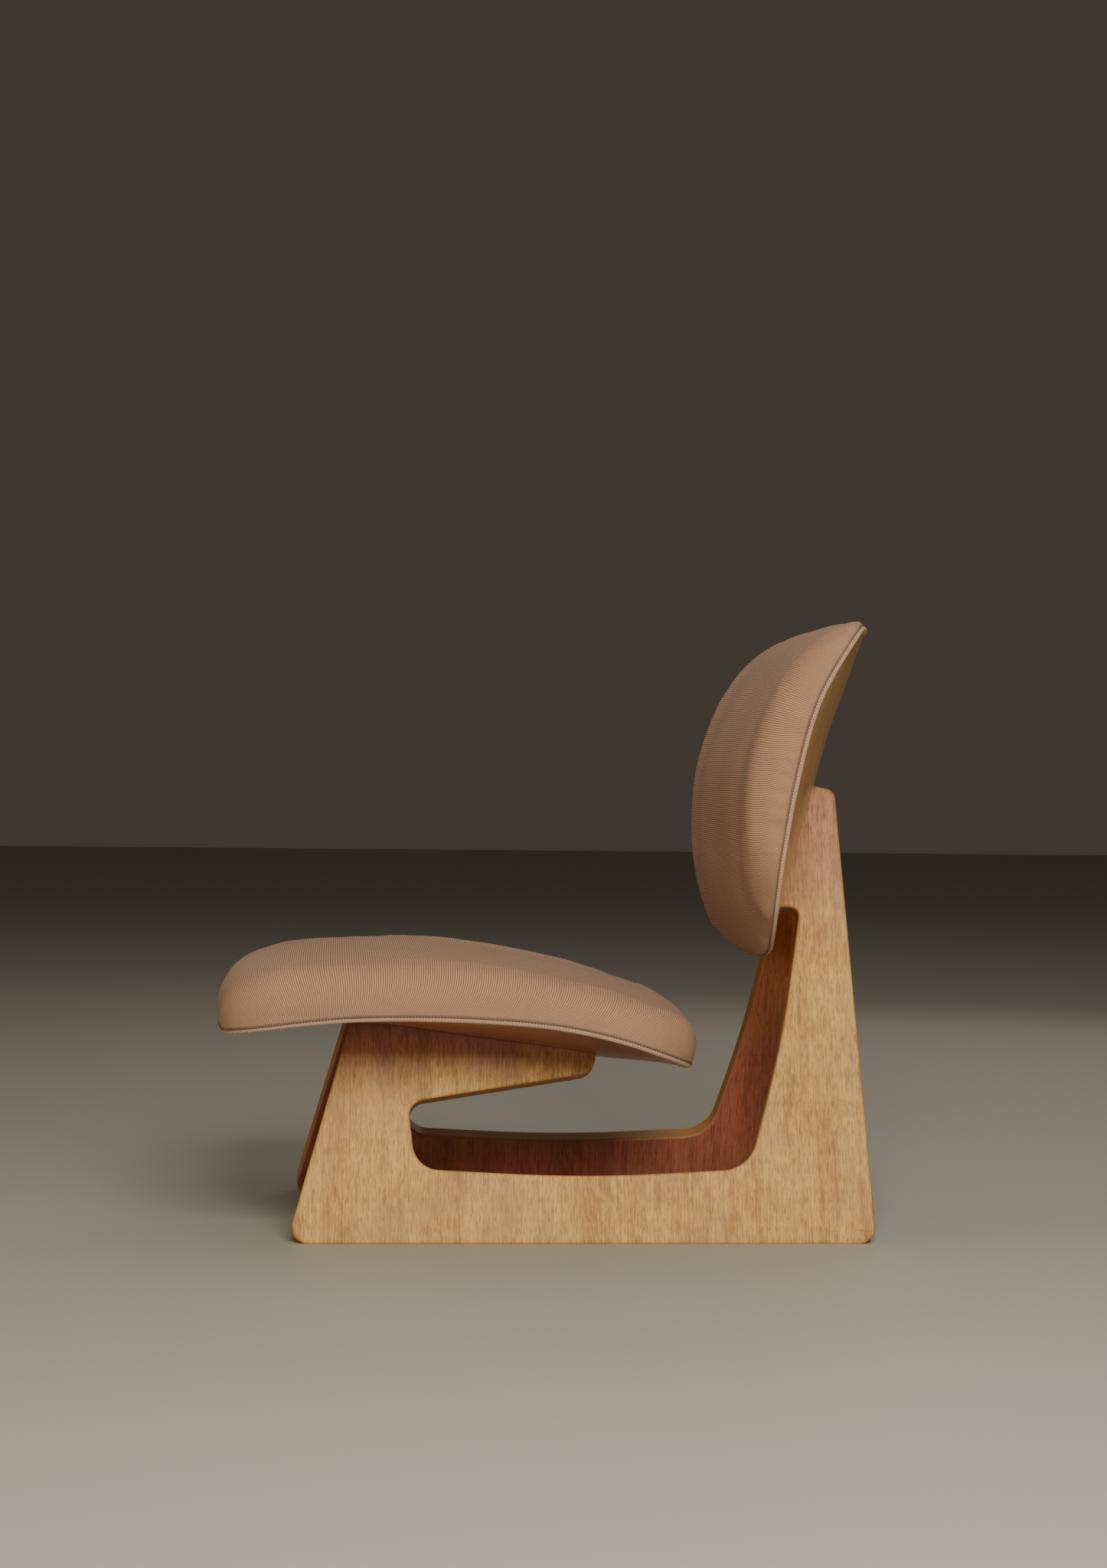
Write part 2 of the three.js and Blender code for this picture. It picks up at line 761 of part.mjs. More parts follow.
function screwGeometry({ origin, axis }, play) {
  return turned([
    [0, -play],
    [screw_head_radius + play, -play],
    [screw_head_radius + play, clearance],
    [screw_radius + play, screw_head_height + clearance],
    [screw_radius + play, screw_length - screw_tip + play],
    [0, screw_length + play],
  ], small_facets, origin, axis);
}

// Cross rails: boards with ends cut to the panels' lean, on blind dowels

function railGeometry(y, foot) {
  const head = foot + rail_depth;
  const low = innerFace(foot) - clearance;
  const high = innerFace(head) - clearance;
  const shape = new THREE.Shape();
  shape.moveTo(-low, foot);
  shape.lineTo(low, foot);
  shape.lineTo(high, head);
  shape.lineTo(-high, head);
  shape.closePath();
  const geometry = slab(shape, rail_thickness, rail_edge_round);
  return geometry.rotateX(Math.PI / 2).translate(0, y - rail_thickness / 2, 0);
}

function dowelSpots(y, foot) {
  return [-1, 1].map((side) => {
    const z = foot + rail_depth / 2 + (side * dowel_spread) / 2;
    return new THREE.Vector3(innerFace(z), y, z);
  });
}

const across = new THREE.Vector3(1, 0, 0);
const dowel_in_rail = dowel_length - dowel_in_panel;

function dowelGeometry(origin) {
  return rod(dowel_radius, -dowel_in_rail, dowel_in_panel, small_facets, origin, across);
}

function dowelHole(origin) {
  const radius = dowel_radius + clearance;
  return rod(radius, -dowel_in_rail - clearance, dowel_in_panel + clearance, small_facets, origin, across);
}

const rails = {
  seat: { y: -half_base + seat_rail_setback, foot: seat_rail_foot },
  back: { y: half_base - back_rail_setback, foot: back_rail_foot },
};

// Assemble: panels first, then what joins them, then the two upholstered units

const floor_block = new THREE.BoxGeometry(2 * base_spread, 2 * base_length, 2 * overrun);
floor_block.translate(base_spread, 0, -overrun);
const panel_tools = [floor_block, seat_cutter, back_cutter];
for (const { y, foot } of Object.values(rails)) panel_tools.push(...dowelSpots(y, foot).map(dowelHole));
for (const key of Object.keys(units)) {
  panel_tools.push(...screwSpots(key).map((spot) => screwGeometry(spot, clearance)));
}
const panel_blank = slab(panel_shape, panel_thickness, panel_edge_round).applyMatrix4(panel_frame);
addPair("side_panel", cut(panel_blank, panel_tools), "panel_veneer");

for (const [key, { y, foot }] of Object.entries(rails)) {
  const spots = dowelSpots(y, foot);
  const holes = spots.map((spot) => welded(dowelHole(spot)));
  const tools = [...holes, ...holes.map(mirrored)];
  addPiece(`${key}_cross_rail`, cut(railGeometry(y, foot), tools), "rail_wood");
  spots.forEach((spot, i) => addPair(`${key}_rail_dowel_${i + 1}`, dowelGeometry(spot), "beech"));
}

for (const [key, unit] of Object.entries(units)) {
  const bolts = boltSpots(key);
  const screws = screwSpots(key);
  const cleat_tools = [
    bearing_cutters[key],
    ...cleatBoltHoles(bolts),
    ...screws.map((spot) => screwGeometry(spot, clearance)),
  ];
  addPair(`${key}_cleat`, cut(cleat_blanks[key], cleat_tools), "rail_wood");
  bolts.forEach((spot, i) => {
    addPair(`${key}_bolt_${i + 1}`, boltGeometry(spot), "steel");
    addPair(`${key}_tee_nut_${i + 1}`, teeNutGeometry(spot), "steel");
  });
  screws.forEach((spot, i) => addPair(`${key}_cleat_screw_${i + 1}`, screwGeometry(spot, 0), "steel"));

  const holes = shellHoles(bolts).map(welded);
  const shell = plate(unit, shell_inset, 0, shell_thickness);
  addPiece(`${key}_shell`, cut(shell, [...holes, ...holes.map(mirrored)]), "shell_veneer");
  addPiece(`${key}_foam`, foamGeometry(unit), "foam");
  addPiece(`${key}_cover`, coverGeometry(unit), "cover_fabric");
  addPiece(`${key}_piping`, pipingGeometry(unit), "piping_fabric");
}

// Put the origin on the floor under the middle of the chair's box

const box = new THREE.Box3().setFromObject(chair);
chair.position.set(0, -(box.min.y + box.max.y) / 2, -box.min.z);

export default chair;
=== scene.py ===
# Low lounge chair: two leaning plywood panels carry a dished seat and a dished back
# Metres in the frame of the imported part, +Z up, front of the chair toward -Y

import math
from functools import reduce

import bmesh
import bpy
import numpy as np
from mathutils import Matrix, Vector
from mathutils.kdtree import KDTree


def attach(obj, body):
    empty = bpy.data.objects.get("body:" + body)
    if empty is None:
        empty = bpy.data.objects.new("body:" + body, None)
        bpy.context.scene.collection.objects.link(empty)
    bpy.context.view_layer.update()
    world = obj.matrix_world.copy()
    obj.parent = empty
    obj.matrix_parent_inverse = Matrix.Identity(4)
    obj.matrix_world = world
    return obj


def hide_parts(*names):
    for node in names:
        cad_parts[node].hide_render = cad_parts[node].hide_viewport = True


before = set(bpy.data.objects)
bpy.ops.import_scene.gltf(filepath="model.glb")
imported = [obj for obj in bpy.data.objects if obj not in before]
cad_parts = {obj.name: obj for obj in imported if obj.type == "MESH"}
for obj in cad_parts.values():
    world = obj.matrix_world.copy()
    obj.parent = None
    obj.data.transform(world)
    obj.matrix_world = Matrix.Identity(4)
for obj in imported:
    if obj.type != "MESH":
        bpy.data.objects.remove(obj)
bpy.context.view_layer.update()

# The view: a long lens a little above the seat, from the sitter's left, and a plain pale floor
# under one large soft lamp on the camera's side, with three weak ones above, beyond and in front

eye = Vector((3.31139, -0.21662, 0.48184))
turned, tipped, rolled = 0.0702526, 0.00452648, 0.01042696
level_right = Vector((math.sin(turned), math.cos(turned), 0))
level_back = Vector((math.cos(turned), -math.sin(turned), 0))
back_way = level_back * math.cos(tipped) + Vector((0, 0, math.sin(tipped)))
tipped_up = Vector((0, 0, math.cos(tipped))) - level_back * math.sin(tipped)
right_way = level_right * math.cos(rolled) + tipped_up * math.sin(rolled)
up_way = tipped_up * math.cos(rolled) - level_right * math.sin(rolled)


def added(name, data):
    """A new object of the scene, at its origin"""
    piece = bpy.data.objects.new(name, data)
    bpy.context.scene.collection.objects.link(piece)
    return piece


lens = bpy.data.cameras.new("photo_view")
lens.sensor_fit = "VERTICAL"
lens.sensor_height = 36
lens.lens = 70.3125
camera = added("photo_view", lens)
camera.matrix_world = Matrix.Translation(eye) @ Matrix((right_way, up_way, back_way)).transposed().to_4x4()
bpy.context.scene.camera = camera


def soft_lamp(name, place, aim, width, height, power, tint):
    lamp = bpy.data.lights.new(name, "AREA")
    lamp.shape = "RECTANGLE"
    lamp.size, lamp.size_y = width, height
    lamp.energy, lamp.color = power, tint
    toward = (Vector(aim) - Vector(place)).to_track_quat("-Z", "Y").to_matrix().to_4x4()
    added(name, lamp).matrix_world = Matrix.Translation(place) @ toward


soft_lamp("key_lamp", (2.5, 0.16, 1.6), (0, -0.03, 0.25), 1.2, 1.2, 67, (1.0, 0.95, 0.84))
soft_lamp("top_lamp", (-0.8, 0.2, 3.6), (-0.8, 0.25, 0), 5.0, 5.0, 34, (1.0, 0.94, 0.86))
soft_lamp("far_lamp", (-2.4, 1.2, 1.4), (0, 0, 0.3), 1.4, 1.2, 6, (1.0, 0.9, 0.78))
soft_lamp("front_lamp", (0.6, -2.6, 0.8), (0, 0.1, 0.35), 1.4, 1.2, 12, (1.0, 0.80, 0.62))

air = bpy.data.worlds.new("studio_air")
air.use_nodes = True
glow = air.node_tree.nodes["Background"].inputs
glow["Color"].default_value, glow["Strength"].default_value = (0.62, 0.53, 0.42, 1), 0.09
bpy.context.scene.world = air

floor_mesh = bpy.data.meshes.new("studio_floor")
floor_mesh.from_pydata([(-15, -15, 0), (15, -15, 0), (15, 15, 0), (-15, 15, 0)], [], [(0, 1, 2, 3)])
floor = added("studio_floor", floor_mesh)
floor_paint = bpy.data.materials.new("pale_floor")
floor_paint.use_nodes = True
paint = floor_paint.node_tree.nodes["Principled BSDF"].inputs
paint["Base Color"].default_value, paint["Roughness"].default_value = (0.42, 0.405, 0.355, 1), 0.6
floor_mesh.materials.append(floor_paint)

# Shells: two sheets of plywood 9 mm thick, moulded in a press and faced in glossy amber veneer.
# Each follows a curve seen from the side and is dished across its width. A place on one is a
# along the curve from its front or foot, x across, and h above the underside.

row_shift = 0.037390
half_width = 0.27
side_roll = 0.044
shell_thickness, shell_inset, shell_edge = 0.009, 0.006, 0.0015
shell_ply, shell_face = 0.0018, 0.0012


def through(points, t):
    """A smooth curve through evenly shared points, read at t from 0 to 1"""
    points = np.asarray(points, float)
    last = len(points) - 1
    place = np.clip(np.asarray(t, float), 0, 1) * last
    i = np.minimum(np.floor(place).astype(int), last)
    f = (place - i)[..., None]
    p0, p1 = points[np.maximum(i - 1, 0)], points[i]
    p2, p3 = points[np.minimum(i + 1, last)], points[np.minimum(i + 2, last)]
    v0, v1 = (p2 - p0) / 2, (p3 - p1) / 2
    return (2 * p1 - 2 * p2 + v0 + v1) * f**3 + (3 * p2 - 3 * p1 - 2 * v0 - v1) * f**2 + v0 * f + p1


def moved_in(rows, inset):
    """Stations of an outline, moved in by inset: a and x"""
    return rows[:, 0] - rows[:, 2] * inset, rows[:, 1] - rows[:, 3] * inset


class MouldedForm:
    """A curve seen from the side, dished across, with rounded corners and bowed ends"""

    def __init__(self, rim, dish, dish_shares, corners, bows, rolls):
        t = np.linspace(0, 1, 201)
        steps = np.linalg.norm(np.diff(through(rim, t), axis=0), axis=1)
        runs = np.concatenate([[0], np.cumsum(steps)])
        self.length = runs[-1]
        self.places = np.linspace(0, self.length, 1601)
        at_t = np.interp(self.places, runs, t)
        self.rim = through(rim, at_t)
        ahead = through(rim, np.minimum(at_t + 1e-4, 1)) - through(rim, np.maximum(at_t - 1e-4, 0))
        self.ahead = ahead / np.linalg.norm(ahead, axis=1)[:, None]
        self.dish, self.dish_shares = dish, dish_shares
        self.corners, self.bows, self.rolls = corners, bows, rolls

    def shared(self, shares, a):
        return through(np.stack([np.linspace(0, 1, len(shares)), shares], axis=1), a / self.length)[..., 1]

    def at(self, a, x, h):
        """Points at a, x and h, and the way that h points there"""
        a, x, h = np.broadcast_arrays(np.asarray(a, float), np.asarray(x, float), np.asarray(h, float))
        held = np.clip(a, 0, self.length)
        ahead = [np.interp(held, self.places, self.ahead[:, i]) for i in (0, 1)]
        spot = [np.interp(held, self.places, self.rim[:, i]) + ahead[i] * (a - held) for i in (0, 1)]
        depth = self.dish * self.shared(self.dish_shares, a)
        sunk = depth * (1 - (x / half_width) ** 2)
        normal = np.stack([-2 * depth * x / half_width**2, -ahead[1], ahead[0]], axis=-1)
        normal /= np.linalg.norm(normal, axis=-1)[..., None]
        point = np.stack([x, spot[0] + ahead[1] * sunk, spot[1] - ahead[0] * sunk], axis=-1)
        return point + normal * h[..., None], normal

    def stations(self, side_steps, corner_steps, end_steps):
        """Round the outline: a, x, outward a and x, core a and x"""
        rows = []
        core_a = (self.rolls[0], self.length - self.rolls[1])
        core_x = half_width - side_roll
        ends = (self.corners[0][0], self.length - self.corners[1][0])
        for side in (1, -1):
            for i in range(side_steps + 1)[::side]:
                s = i / side_steps
                rows.append((ends[0] + (ends[1] - ends[0]) * s, side * half_width, 0, side,
                             core_a[0] + (core_a[1] - core_a[0]) * s, side * core_x))
            far = (side + 1) // 2
            deep, wide = self.corners[far]
            corner_x = half_width - wide
            turns = [math.pi / 2 * i / corner_steps for i in range(1, corner_steps)]
            for way, arc in ((side, turns), (-side, turns[::-1])):
                for turn in arc:
                    across, along = math.cos(turn), math.sin(turn)
                    out = np.array([wide * along, deep * across]) / math.hypot(wide * along, deep * across)
                    rows.append((ends[far] + side * deep * along, way * (corner_x + wide * across),
                                 side * out[0], way * out[1], core_a[far], way * core_x))
                for s in (1 - 2 * j / end_steps for j in range(end_steps + 1) if way == side):
                    bow = deep + self.bows[far] * (1 - s**2)
                    rows.append((ends[far] + side * bow, side * s * corner_x, side, 0,
                                 core_a[far], side * s * core_x))
        return np.array(rows)


seat_depth, seat_front, seat_rim = 0.478, -0.3685 + row_shift, 0.232
back_height, back_foot, back_low = 0.338, 0.1795 + row_shift, 0.299
forms = {
    "seat": MouldedForm(
        rim=[(seat_front + run * seat_depth, seat_rim + rise * seat_depth) for run, rise in (
            (0, -0.0355), (0.2735, -0.0036), (0.5668, -0.0052), (0.7761, -0.0303), (1, -0.095))],
        dish=0.040, dish_shares=(0.08, 0.22, 0.46, 0.82, 1, 0.88, 0.42),
        corners=((0.068, 0.066), (0.080, 0.062)), bows=(0.010, 0.006), rolls=(0.084, 0.040)),
    "back": MouldedForm(
        rim=[(back_foot + run * back_height, back_low + rise * back_height) for rise, run in (
            (0, 0), (0.2417, 0.0325), (0.5065, 0.0769), (0.7515, 0.142), (1, 0.2692))],
        dish=0.048, dish_shares=(0.5, 0.66, 0.86, 1, 1.04, 0.97, 0.72),
        corners=((0.102, 0.090), (0.100, 0.056)), bows=(0.012, 0.012), rolls=(0.094, 0.084)),
}


def ring_faces(rings, count):
    """The faces between closed rings of count points each"""
    return [(r * count + k, r * count + j, (r + 1) * count + j, (r + 1) * count + k)
            for r in range(rings - 1) for k, j in zip(range(count), [*range(1, count), 0])]


def rings_and_core(form, rings, under, over, steps):
    """A closed skin over a form: rings of (inset, share of the way to the core, height) from
    below to above, closed by one grid under the core and one over it"""
    side_steps, corner_steps, end_steps = steps
    rows = form.stations(*steps)
    count = len(rows)
    points, spots, heights, faces = [], [], [], ring_faces(len(rings), count)

    def put(a, x, height):
        tall = height(a, x) if callable(height) else np.full_like(a, height)
        points.append(form.at(a, x, tall)[0])
        spots.append(np.stack([x, a], axis=1))
        heights.append(tall)

    for inset, share, height in rings:
        a, x = moved_in(rows, inset)
        put(a + (rows[:, 4] - a) * share, x + (rows[:, 5] - x) * share, height)
    base, row = len(rings) * count, end_steps + 1
    grid_a, grid_x = np.meshgrid(np.linspace(form.rolls[0], form.length - form.rolls[1], side_steps + 1),
                                 np.linspace(1, -1, row) * (half_width - side_roll), indexing="ij")
    for height, up in ((over, True), (under, False)):
        put(grid_a.ravel(), grid_x.ravel(), height)
        for i in range(side_steps):
            for j in range(end_steps):
                k = base + i * row + j
                quad = (k, k + row, k + row + 1, k + 1)
                faces.append(quad if up else quad[::-1])
        base += (side_steps + 1) * row
    return np.concatenate(points), np.concatenate(spots), np.concatenate(heights), faces


def listed(items, key, size=1, kind=float):
    """What each item of a mesh holds under a key, one row for each item"""
    held = np.empty(len(items) * size, kind)
    items.foreach_get(key, held)
    return held.reshape(-1, size) if size > 1 else held


def finished_mesh(name, points, faces, uv, uv_name="grain", values=None, mirror=False, sharp=40, weld=0):
    points = np.array(points, float)
    if mirror:
        points[:, 0] *= -1
        faces = [tuple(f[::-1]) for f in faces]
    mesh = bpy.data.meshes.new(name)
    mesh.from_pydata(points.tolist(), [], faces)
    corner = listed(mesh.loops, "vertex_index", kind=np.int32)
    mesh.uv_layers.new(name=uv_name).uv.foreach_set("vector", np.asarray(uv, np.float32)[corner].ravel())
    for key, held in (values or {}).items():
        mesh.attributes.new(key, "FLOAT", "POINT").data.foreach_set("value", np.asarray(held, np.float32))
    if weld:
        bm = bmesh.new()
        bm.from_mesh(mesh)
        bmesh.ops.remove_doubles(bm, verts=bm.verts, dist=weld)
        bmesh.ops.dissolve_degenerate(bm, edges=bm.edges, dist=weld)
        bm.to_mesh(mesh)
        bm.free()
    mesh.shade_smooth()
    mesh.set_sharp_from_angle(angle=math.radians(sharp))
    return added(name, mesh)


def dressed(piece, slot, *covered):
    """A piece that rides the chair's one body and takes the place of the nodes it covers"""
    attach(piece, "root")
    if covered:
        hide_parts(*covered)


class Wiring:
    """Places nodes in a tree and joins them: a value is a number, a colour or another socket"""

    def __init__(self, tree):
        self.tree = tree

    def place(self, kind, settings=None, **wires):
        """A node with its sockets filled: _0 is the first socket, Scale the one named Scale"""
        made = self.tree.nodes.new(kind)
        for key, value in (settings or {}).items():
            setattr(made, key, value)
        return self.fill(made, **wires)

    def fill(self, made, **wires):
        for key, value in wires.items():
            self.join(value, made.inputs[int(key[1:]) if key[0] == "_" else key.replace("_", " ")])
        return made

    def node(self, kind, outlet=0, settings=None, **wires):
        return self.place(kind, settings, **wires).outputs[outlet]

    def join(self, value, socket):
        if isinstance(value, bpy.types.NodeSocket):
            self.tree.links.new(value, socket)
        else:
            socket.default_value = (*value, 1) if socket.type == "RGBA" else value

    def calc(self, kind, *values):
        return self.node("ShaderNodeMath", settings={"operation": kind},
                         **{f"_{i}": v for i, v in enumerate(values)})

    def plus(self, *values):
        return reduce(lambda one, other: self.calc("ADD", one, other), values)

    def times(self, *values):
        return reduce(lambda one, other: self.calc("MULTIPLY", one, other), values)

    def less(self, whole, part):
        return self.calc("SUBTRACT", whole, part)

    def vector(self, kind, *values, outlet=0):
        return self.node("ShaderNodeVectorMath", outlet, {"operation": kind},
                         **{f"_{i}": v for i, v in enumerate(values)})

    def ramp(self, value, low, high, to_low=0.0, to_high=1.0):
        return self.node("ShaderNodeMapRange", settings={"interpolation_type": "SMOOTHSTEP"}, _0=value,
                         _1=low, _2=high, _3=to_low, _4=to_high)

    def mix(self, share, one, other):
        made = self.place("ShaderNodeMix", {"data_type": "RGBA"})
        for value, socket in ((share, made.inputs[0]), (one, made.inputs[6]), (other, made.inputs[7])):
            self.join(value, socket)
        return made.outputs[2]

    def noise(self, spot, scale, detail=2.0, rough=0.5):
        """Cloudy values, with scale as cells per metre along each axis of the spot"""
        return self.node("ShaderNodeTexNoise", Vector=self.vector("MULTIPLY", spot, scale), Scale=1.0,
                         Detail=detail, Roughness=rough)

    def bump(self, strength, distance, height):
        return self.node("ShaderNodeBump", Strength=strength, Distance=distance, Height=height)

    def group(self, tree, **wires):
        return self.place("ShaderNodeGroup", {"node_tree": tree}, **wires).outputs

    def read(self, attribute):
        return self.node("ShaderNodeAttribute", "Fac", {"attribute_name": attribute})

    def uv(self, name):
        return self.node("ShaderNodeUVMap", settings={"uv_map": name})

    def here(self):
        return self.node("ShaderNodeTexCoord", "Object")

    def split(self, spot):
        return self.place("ShaderNodeSeparateXYZ", _0=spot).outputs

    def point(self, **wires):
        return self.node("ShaderNodeCombineXYZ", **wires)

    def named(self, name):
        return self.node("GeometryNodeInputNamedAttribute", settings={"data_type": "FLOAT"}, Name=name)

    def made_of(self, shape, material):
        solid = self.node("GeometryNodeRealizeInstances", Geometry=shape)
        return self.node("GeometryNodeSetMaterial", Geometry=solid, Material=material)


def new_tree(name, kind, takes, gives):
    tree = bpy.data.node_groups.new(name, kind)
    for way, sockets in (("INPUT", takes), ("OUTPUT", gives)):
        for key, sort in sockets:
            tree.interface.new_socket(key, in_out=way, socket_type=f"NodeSocket{sort}")
    start, end = tree.nodes.new("NodeGroupInput"), tree.nodes.new("NodeGroupOutput")
    return tree, start.outputs, end.inputs, Wiring(tree)


def new_material(name):
    made = bpy.data.materials.new(name)
    made.use_nodes = True
    return made, Wiring(made.node_tree), made.node_tree.nodes["Principled BSDF"]


# Grain is a place in metres, x across the grain and y along it
veneer, taken, given, w = new_tree("veneer", "ShaderNodeTree", [
    ("Grain", "Vector"), ("Light", "Color"), ("Dark", "Color"), ("Pore", "Color"), ("Pore Share", "Float"),
    ("Figure", "Float")], [("Color", "Color"), ("Height", "Float"), ("Gloss Mask", "Float")])
grain = taken["Grain"]
bands = w.ramp(w.noise(grain, (42, 2.0, 1), 3.0, 0.55), 0.3, 0.7)
lines = w.ramp(w.noise(grain, (560, 7, 1), 3.0, 0.6), 0.3, 0.7)
flecks = w.ramp(w.noise(grain, (430, 44, 1), 3.0, 0.65), 0.34, 0.62)
mottle = w.noise(grain, (120, 55, 1), 3.0, 0.6)
clouds = w.noise(grain, (22, 9, 1), 2.0, 0.5)
pores = w.ramp(w.noise(grain, (1050, 100, 1), 1.0, 0.5), 0.56, 0.68)
long_pores = w.ramp(w.noise(grain, (840, 32, 1), 1.0, 0.5), 0.58, 0.70)
figured = w.times(w.plus(w.less(mottle, 0.5), w.less(clouds, 0.5)), taken["Figure"])
tone = w.plus(w.times(bands, 0.30), w.times(lines, 0.26), w.times(flecks, 0.28), 0.08, figured)
pore_mask = w.times(w.calc("MAXIMUM", pores, w.times(long_pores, 0.8)), taken["Pore Share"])
solid = w.mix(w.ramp(tone, 0.0, 1.0), taken["Dark"], taken["Light"])
w.join(w.mix(pore_mask, solid, taken["Pore"]), given["Color"])
w.join(w.less(w.times(lines, 0.3), pore_mask), given["Height"])
w.join(w.less(1.0, w.times(pore_mask, 0.6)), given["Gloss Mask"])


def veneered(w, grain, light, dark, pore, pore_share, figure):
    return w.group(veneer, Grain=grain, Light=light, Dark=dark, Pore=pore, Pore_Share=pore_share,
                   Figure=figure)


shell_wood, w, shader = new_material("shell_veneer")
grain_map = w.uv("grain")
amber = veneered(w, grain_map, (0.90, 0.50, 0.18), (0.56, 0.27, 0.085),
                 (0.12, 0.04, 0.01), 0.3, 0.5)
# Below the seat the shell takes a darker, redder veneer: painted shade for the shadow under the seat,
# blending to the amber above it
painted_shade_veneer = veneered(w, grain_map, (0.40, 0.145, 0.062), (0.22, 0.07, 0.028),
                   (0.08, 0.025, 0.01), 0.3, 0.5)
above_painted_shade = w.ramp(w.split(w.here())[2], 0.25, 0.36)
faced = w.mix(above_painted_shade, painted_shade_veneer["Color"], amber["Color"])
plies = w.ramp(w.calc("SINE", w.times(w.read("height"), math.pi / shell_ply)), -0.4, 0.4)
sawn = w.mix(plies, (0.20, 0.085, 0.03), (0.42, 0.235, 0.09))
w.fill(shader, Base_Color=w.mix(w.read("sawn"), faced, sawn), Coat_Weight=0.35, Coat_Roughness=0.22,
       Roughness=w.less(0.52, w.times(amber["Gloss Mask"], 0.2)),
       Normal=w.bump(0.2, 0.0002, amber["Height"]))

for key, form in forms.items():
    turns = [math.radians(18 * i) for i in range(6)]
    low = [(shell_inset + shell_edge * (1 - math.sin(t)), 0, shell_edge * (1 - math.cos(t))) for t in turns]
    high = [(inset, 0, shell_thickness - h) for inset, _, h in low[::-1]]
    below = [(shell_inset, share, 0.0) for share in (1, 0.75, 0.5, 0.25, 0.05)]
    above = [(shell_inset, share, shell_thickness) for _, share, _ in below[::-1]]
    points, spots, heights, faces = rings_and_core(form, below + low + high + above, 0.0, shell_thickness,
                                                   (70, 14, 60))
    sawn = (np.abs(heights - shell_thickness / 2) < shell_thickness / 2 - shell_face).astype(float)
    shell = finished_mesh(f"{key}_shell_wood", points, faces, spots, sharp=60, weld=1e-6,
                          values={"height": heights, "sawn": sawn})
    shell.data.materials.append(shell_wood)
    dressed(shell, "shell_veneer", f"{key}_shell")

# Side panels: 25 mm plywood sawn to outline and leaning in by 17 degrees, the edges rounded over
# and the upper ones cut to the undersides of the two shells. The outer veneer has bleached in
# the light; under the seat it is painted darker, partly less bleached and partly painted shade for
# the seat's shadow, and the top of the upright is painted darker as painted shade. The upright's
# inner face is painted lighter up high as painted light; the edges kept their golden lacquer.

lean = math.radians(17)
panel_thickness, panel_foot, half_base = 0.025, 0.208, 0.302
edge_round, bearing_gap, panel_ply = 0.0032, 0.0003, 0.0025


def on_panel(y, w, n):
    """A place on the left panel: y along the floor, w up the lean, n outward from its face"""
    return np.stack([panel_foot - w * math.sin(lean) + n * math.cos(lean), y + row_shift,
                     w * math.cos(lean) + n * math.sin(lean)], axis=-1)


def bearing_line(form, n, gap):
    """Where a shell's underside, less a gap, meets the panel at depth n: y and w along the form"""
    a = form.places
    x = np.full_like(a, 0.15)
    for _ in range(12):
        point = form.at(a, x, -gap)[0]
        up = (point[:, 2] - n * math.sin(lean)) / math.cos(lean)
        x = x + panel_foot + n * math.cos(lean) - up * math.sin(lean) - point[:, 0]
    return point[:, 1] - row_shift, up


def rounded_path(corners):
    """Straight edges and true arcs through corners (y, w, radius)"""
    pieces = []
    spot = np.array(corners[0][:2])
    for i in range(1, len(corners) - 1):
        corner, radius = np.array(corners[i][:2]), corners[i][2]
        before, after = np.array(corners[i - 1][:2]) - corner, np.array(corners[i + 1][:2]) - corner
        before, after = before / np.linalg.norm(before), after / np.linalg.norm(after)
        half = math.acos(before @ after) / 2
        start, stop = (corner + way * radius / math.tan(half) for way in (before, after))
        centre = corner + (before + after) / np.linalg.norm(before + after) * radius / math.sin(half)
        outward = -1 if before[0] * after[1] - before[1] * after[0] > 0 else 1
        pieces.append(("edge", spot, start, np.array([-before[1], before[0]])))
        pieces.append(("arc", centre, start, stop, outward))
        spot = stop
    corner = np.array(corners[-1][:2])
    ahead = (corner - spot) / np.linalg.norm(corner - spot)
    return pieces + [("edge", spot, corner, np.array([ahead[1], -ahead[0]]))]


def path_points(pieces, inset, first, last):
    """Points along a path moved in by inset, its two ends put where first and last say"""
    points = []
    for k, piece in enumerate(pieces):
        if piece[0] == "edge":
            _, start, stop, normal = piece
            a, b = start - normal * inset, stop - normal * inset
            a = first(a, b) if k == 0 else a
            b = last(a, b) if k == len(pieces) - 1 else b
            count = max(2, round(np.linalg.norm(stop - start) / 0.006))
            points += [a + (b - a) * i / count for i in range(0 if k == 0 else 1, count + 1)]
        else:
            _, centre, start, stop, outward = piece
            radius = np.linalg.norm(start - centre)
            a0 = math.atan2(*(start - centre)[::-1])
            turn = (math.atan2(*(stop - centre)[::-1]) - a0 + math.pi) % (2 * math.pi) - math.pi
            count = max(4, round(abs(turn) * min(radius, 0.1) / 0.0015))
            reach = radius - outward * inset
            for i in range(1, count + 1):
                angle = a0 + turn * i / count
                points.append(centre + reach * np.array([math.cos(angle), math.sin(angle)]))
    return points


# Corners of the outline: y along the floor, w up the lean, radius of the arc
arm_front, arm_end, over = -0.236, 0.015, 0.012
upright_top, notch_foot = 0.493, 0.3555
runner_ends = [(-half_base, 0, 0.018), (half_base, 0, 0.018)]
upright_rear, notch = (0.276, 0.485, 0.012), (0.23365, notch_foot, 0.009)
upright_knee, upright_foot, runner_dip = (0.2117, 0.215, 1.2), (0.172, 0.0775, 0.038), (0, 0.0685, 1.5)
window_low, window_high = (-0.171, 0.0775, 0.028), (-0.179, 0.1456, 0.017)
arm_nose = (arm_end, 0.1775, 0.019)
bearing = {key: bearing_line(form, 0, 0) for key, form in forms.items()}


def beyond_seat(y):
    return y, np.interp(y, *bearing["seat"]) + over


def beyond_back(up):
    return np.interp(up, *bearing["back"][::-1]) - over, up


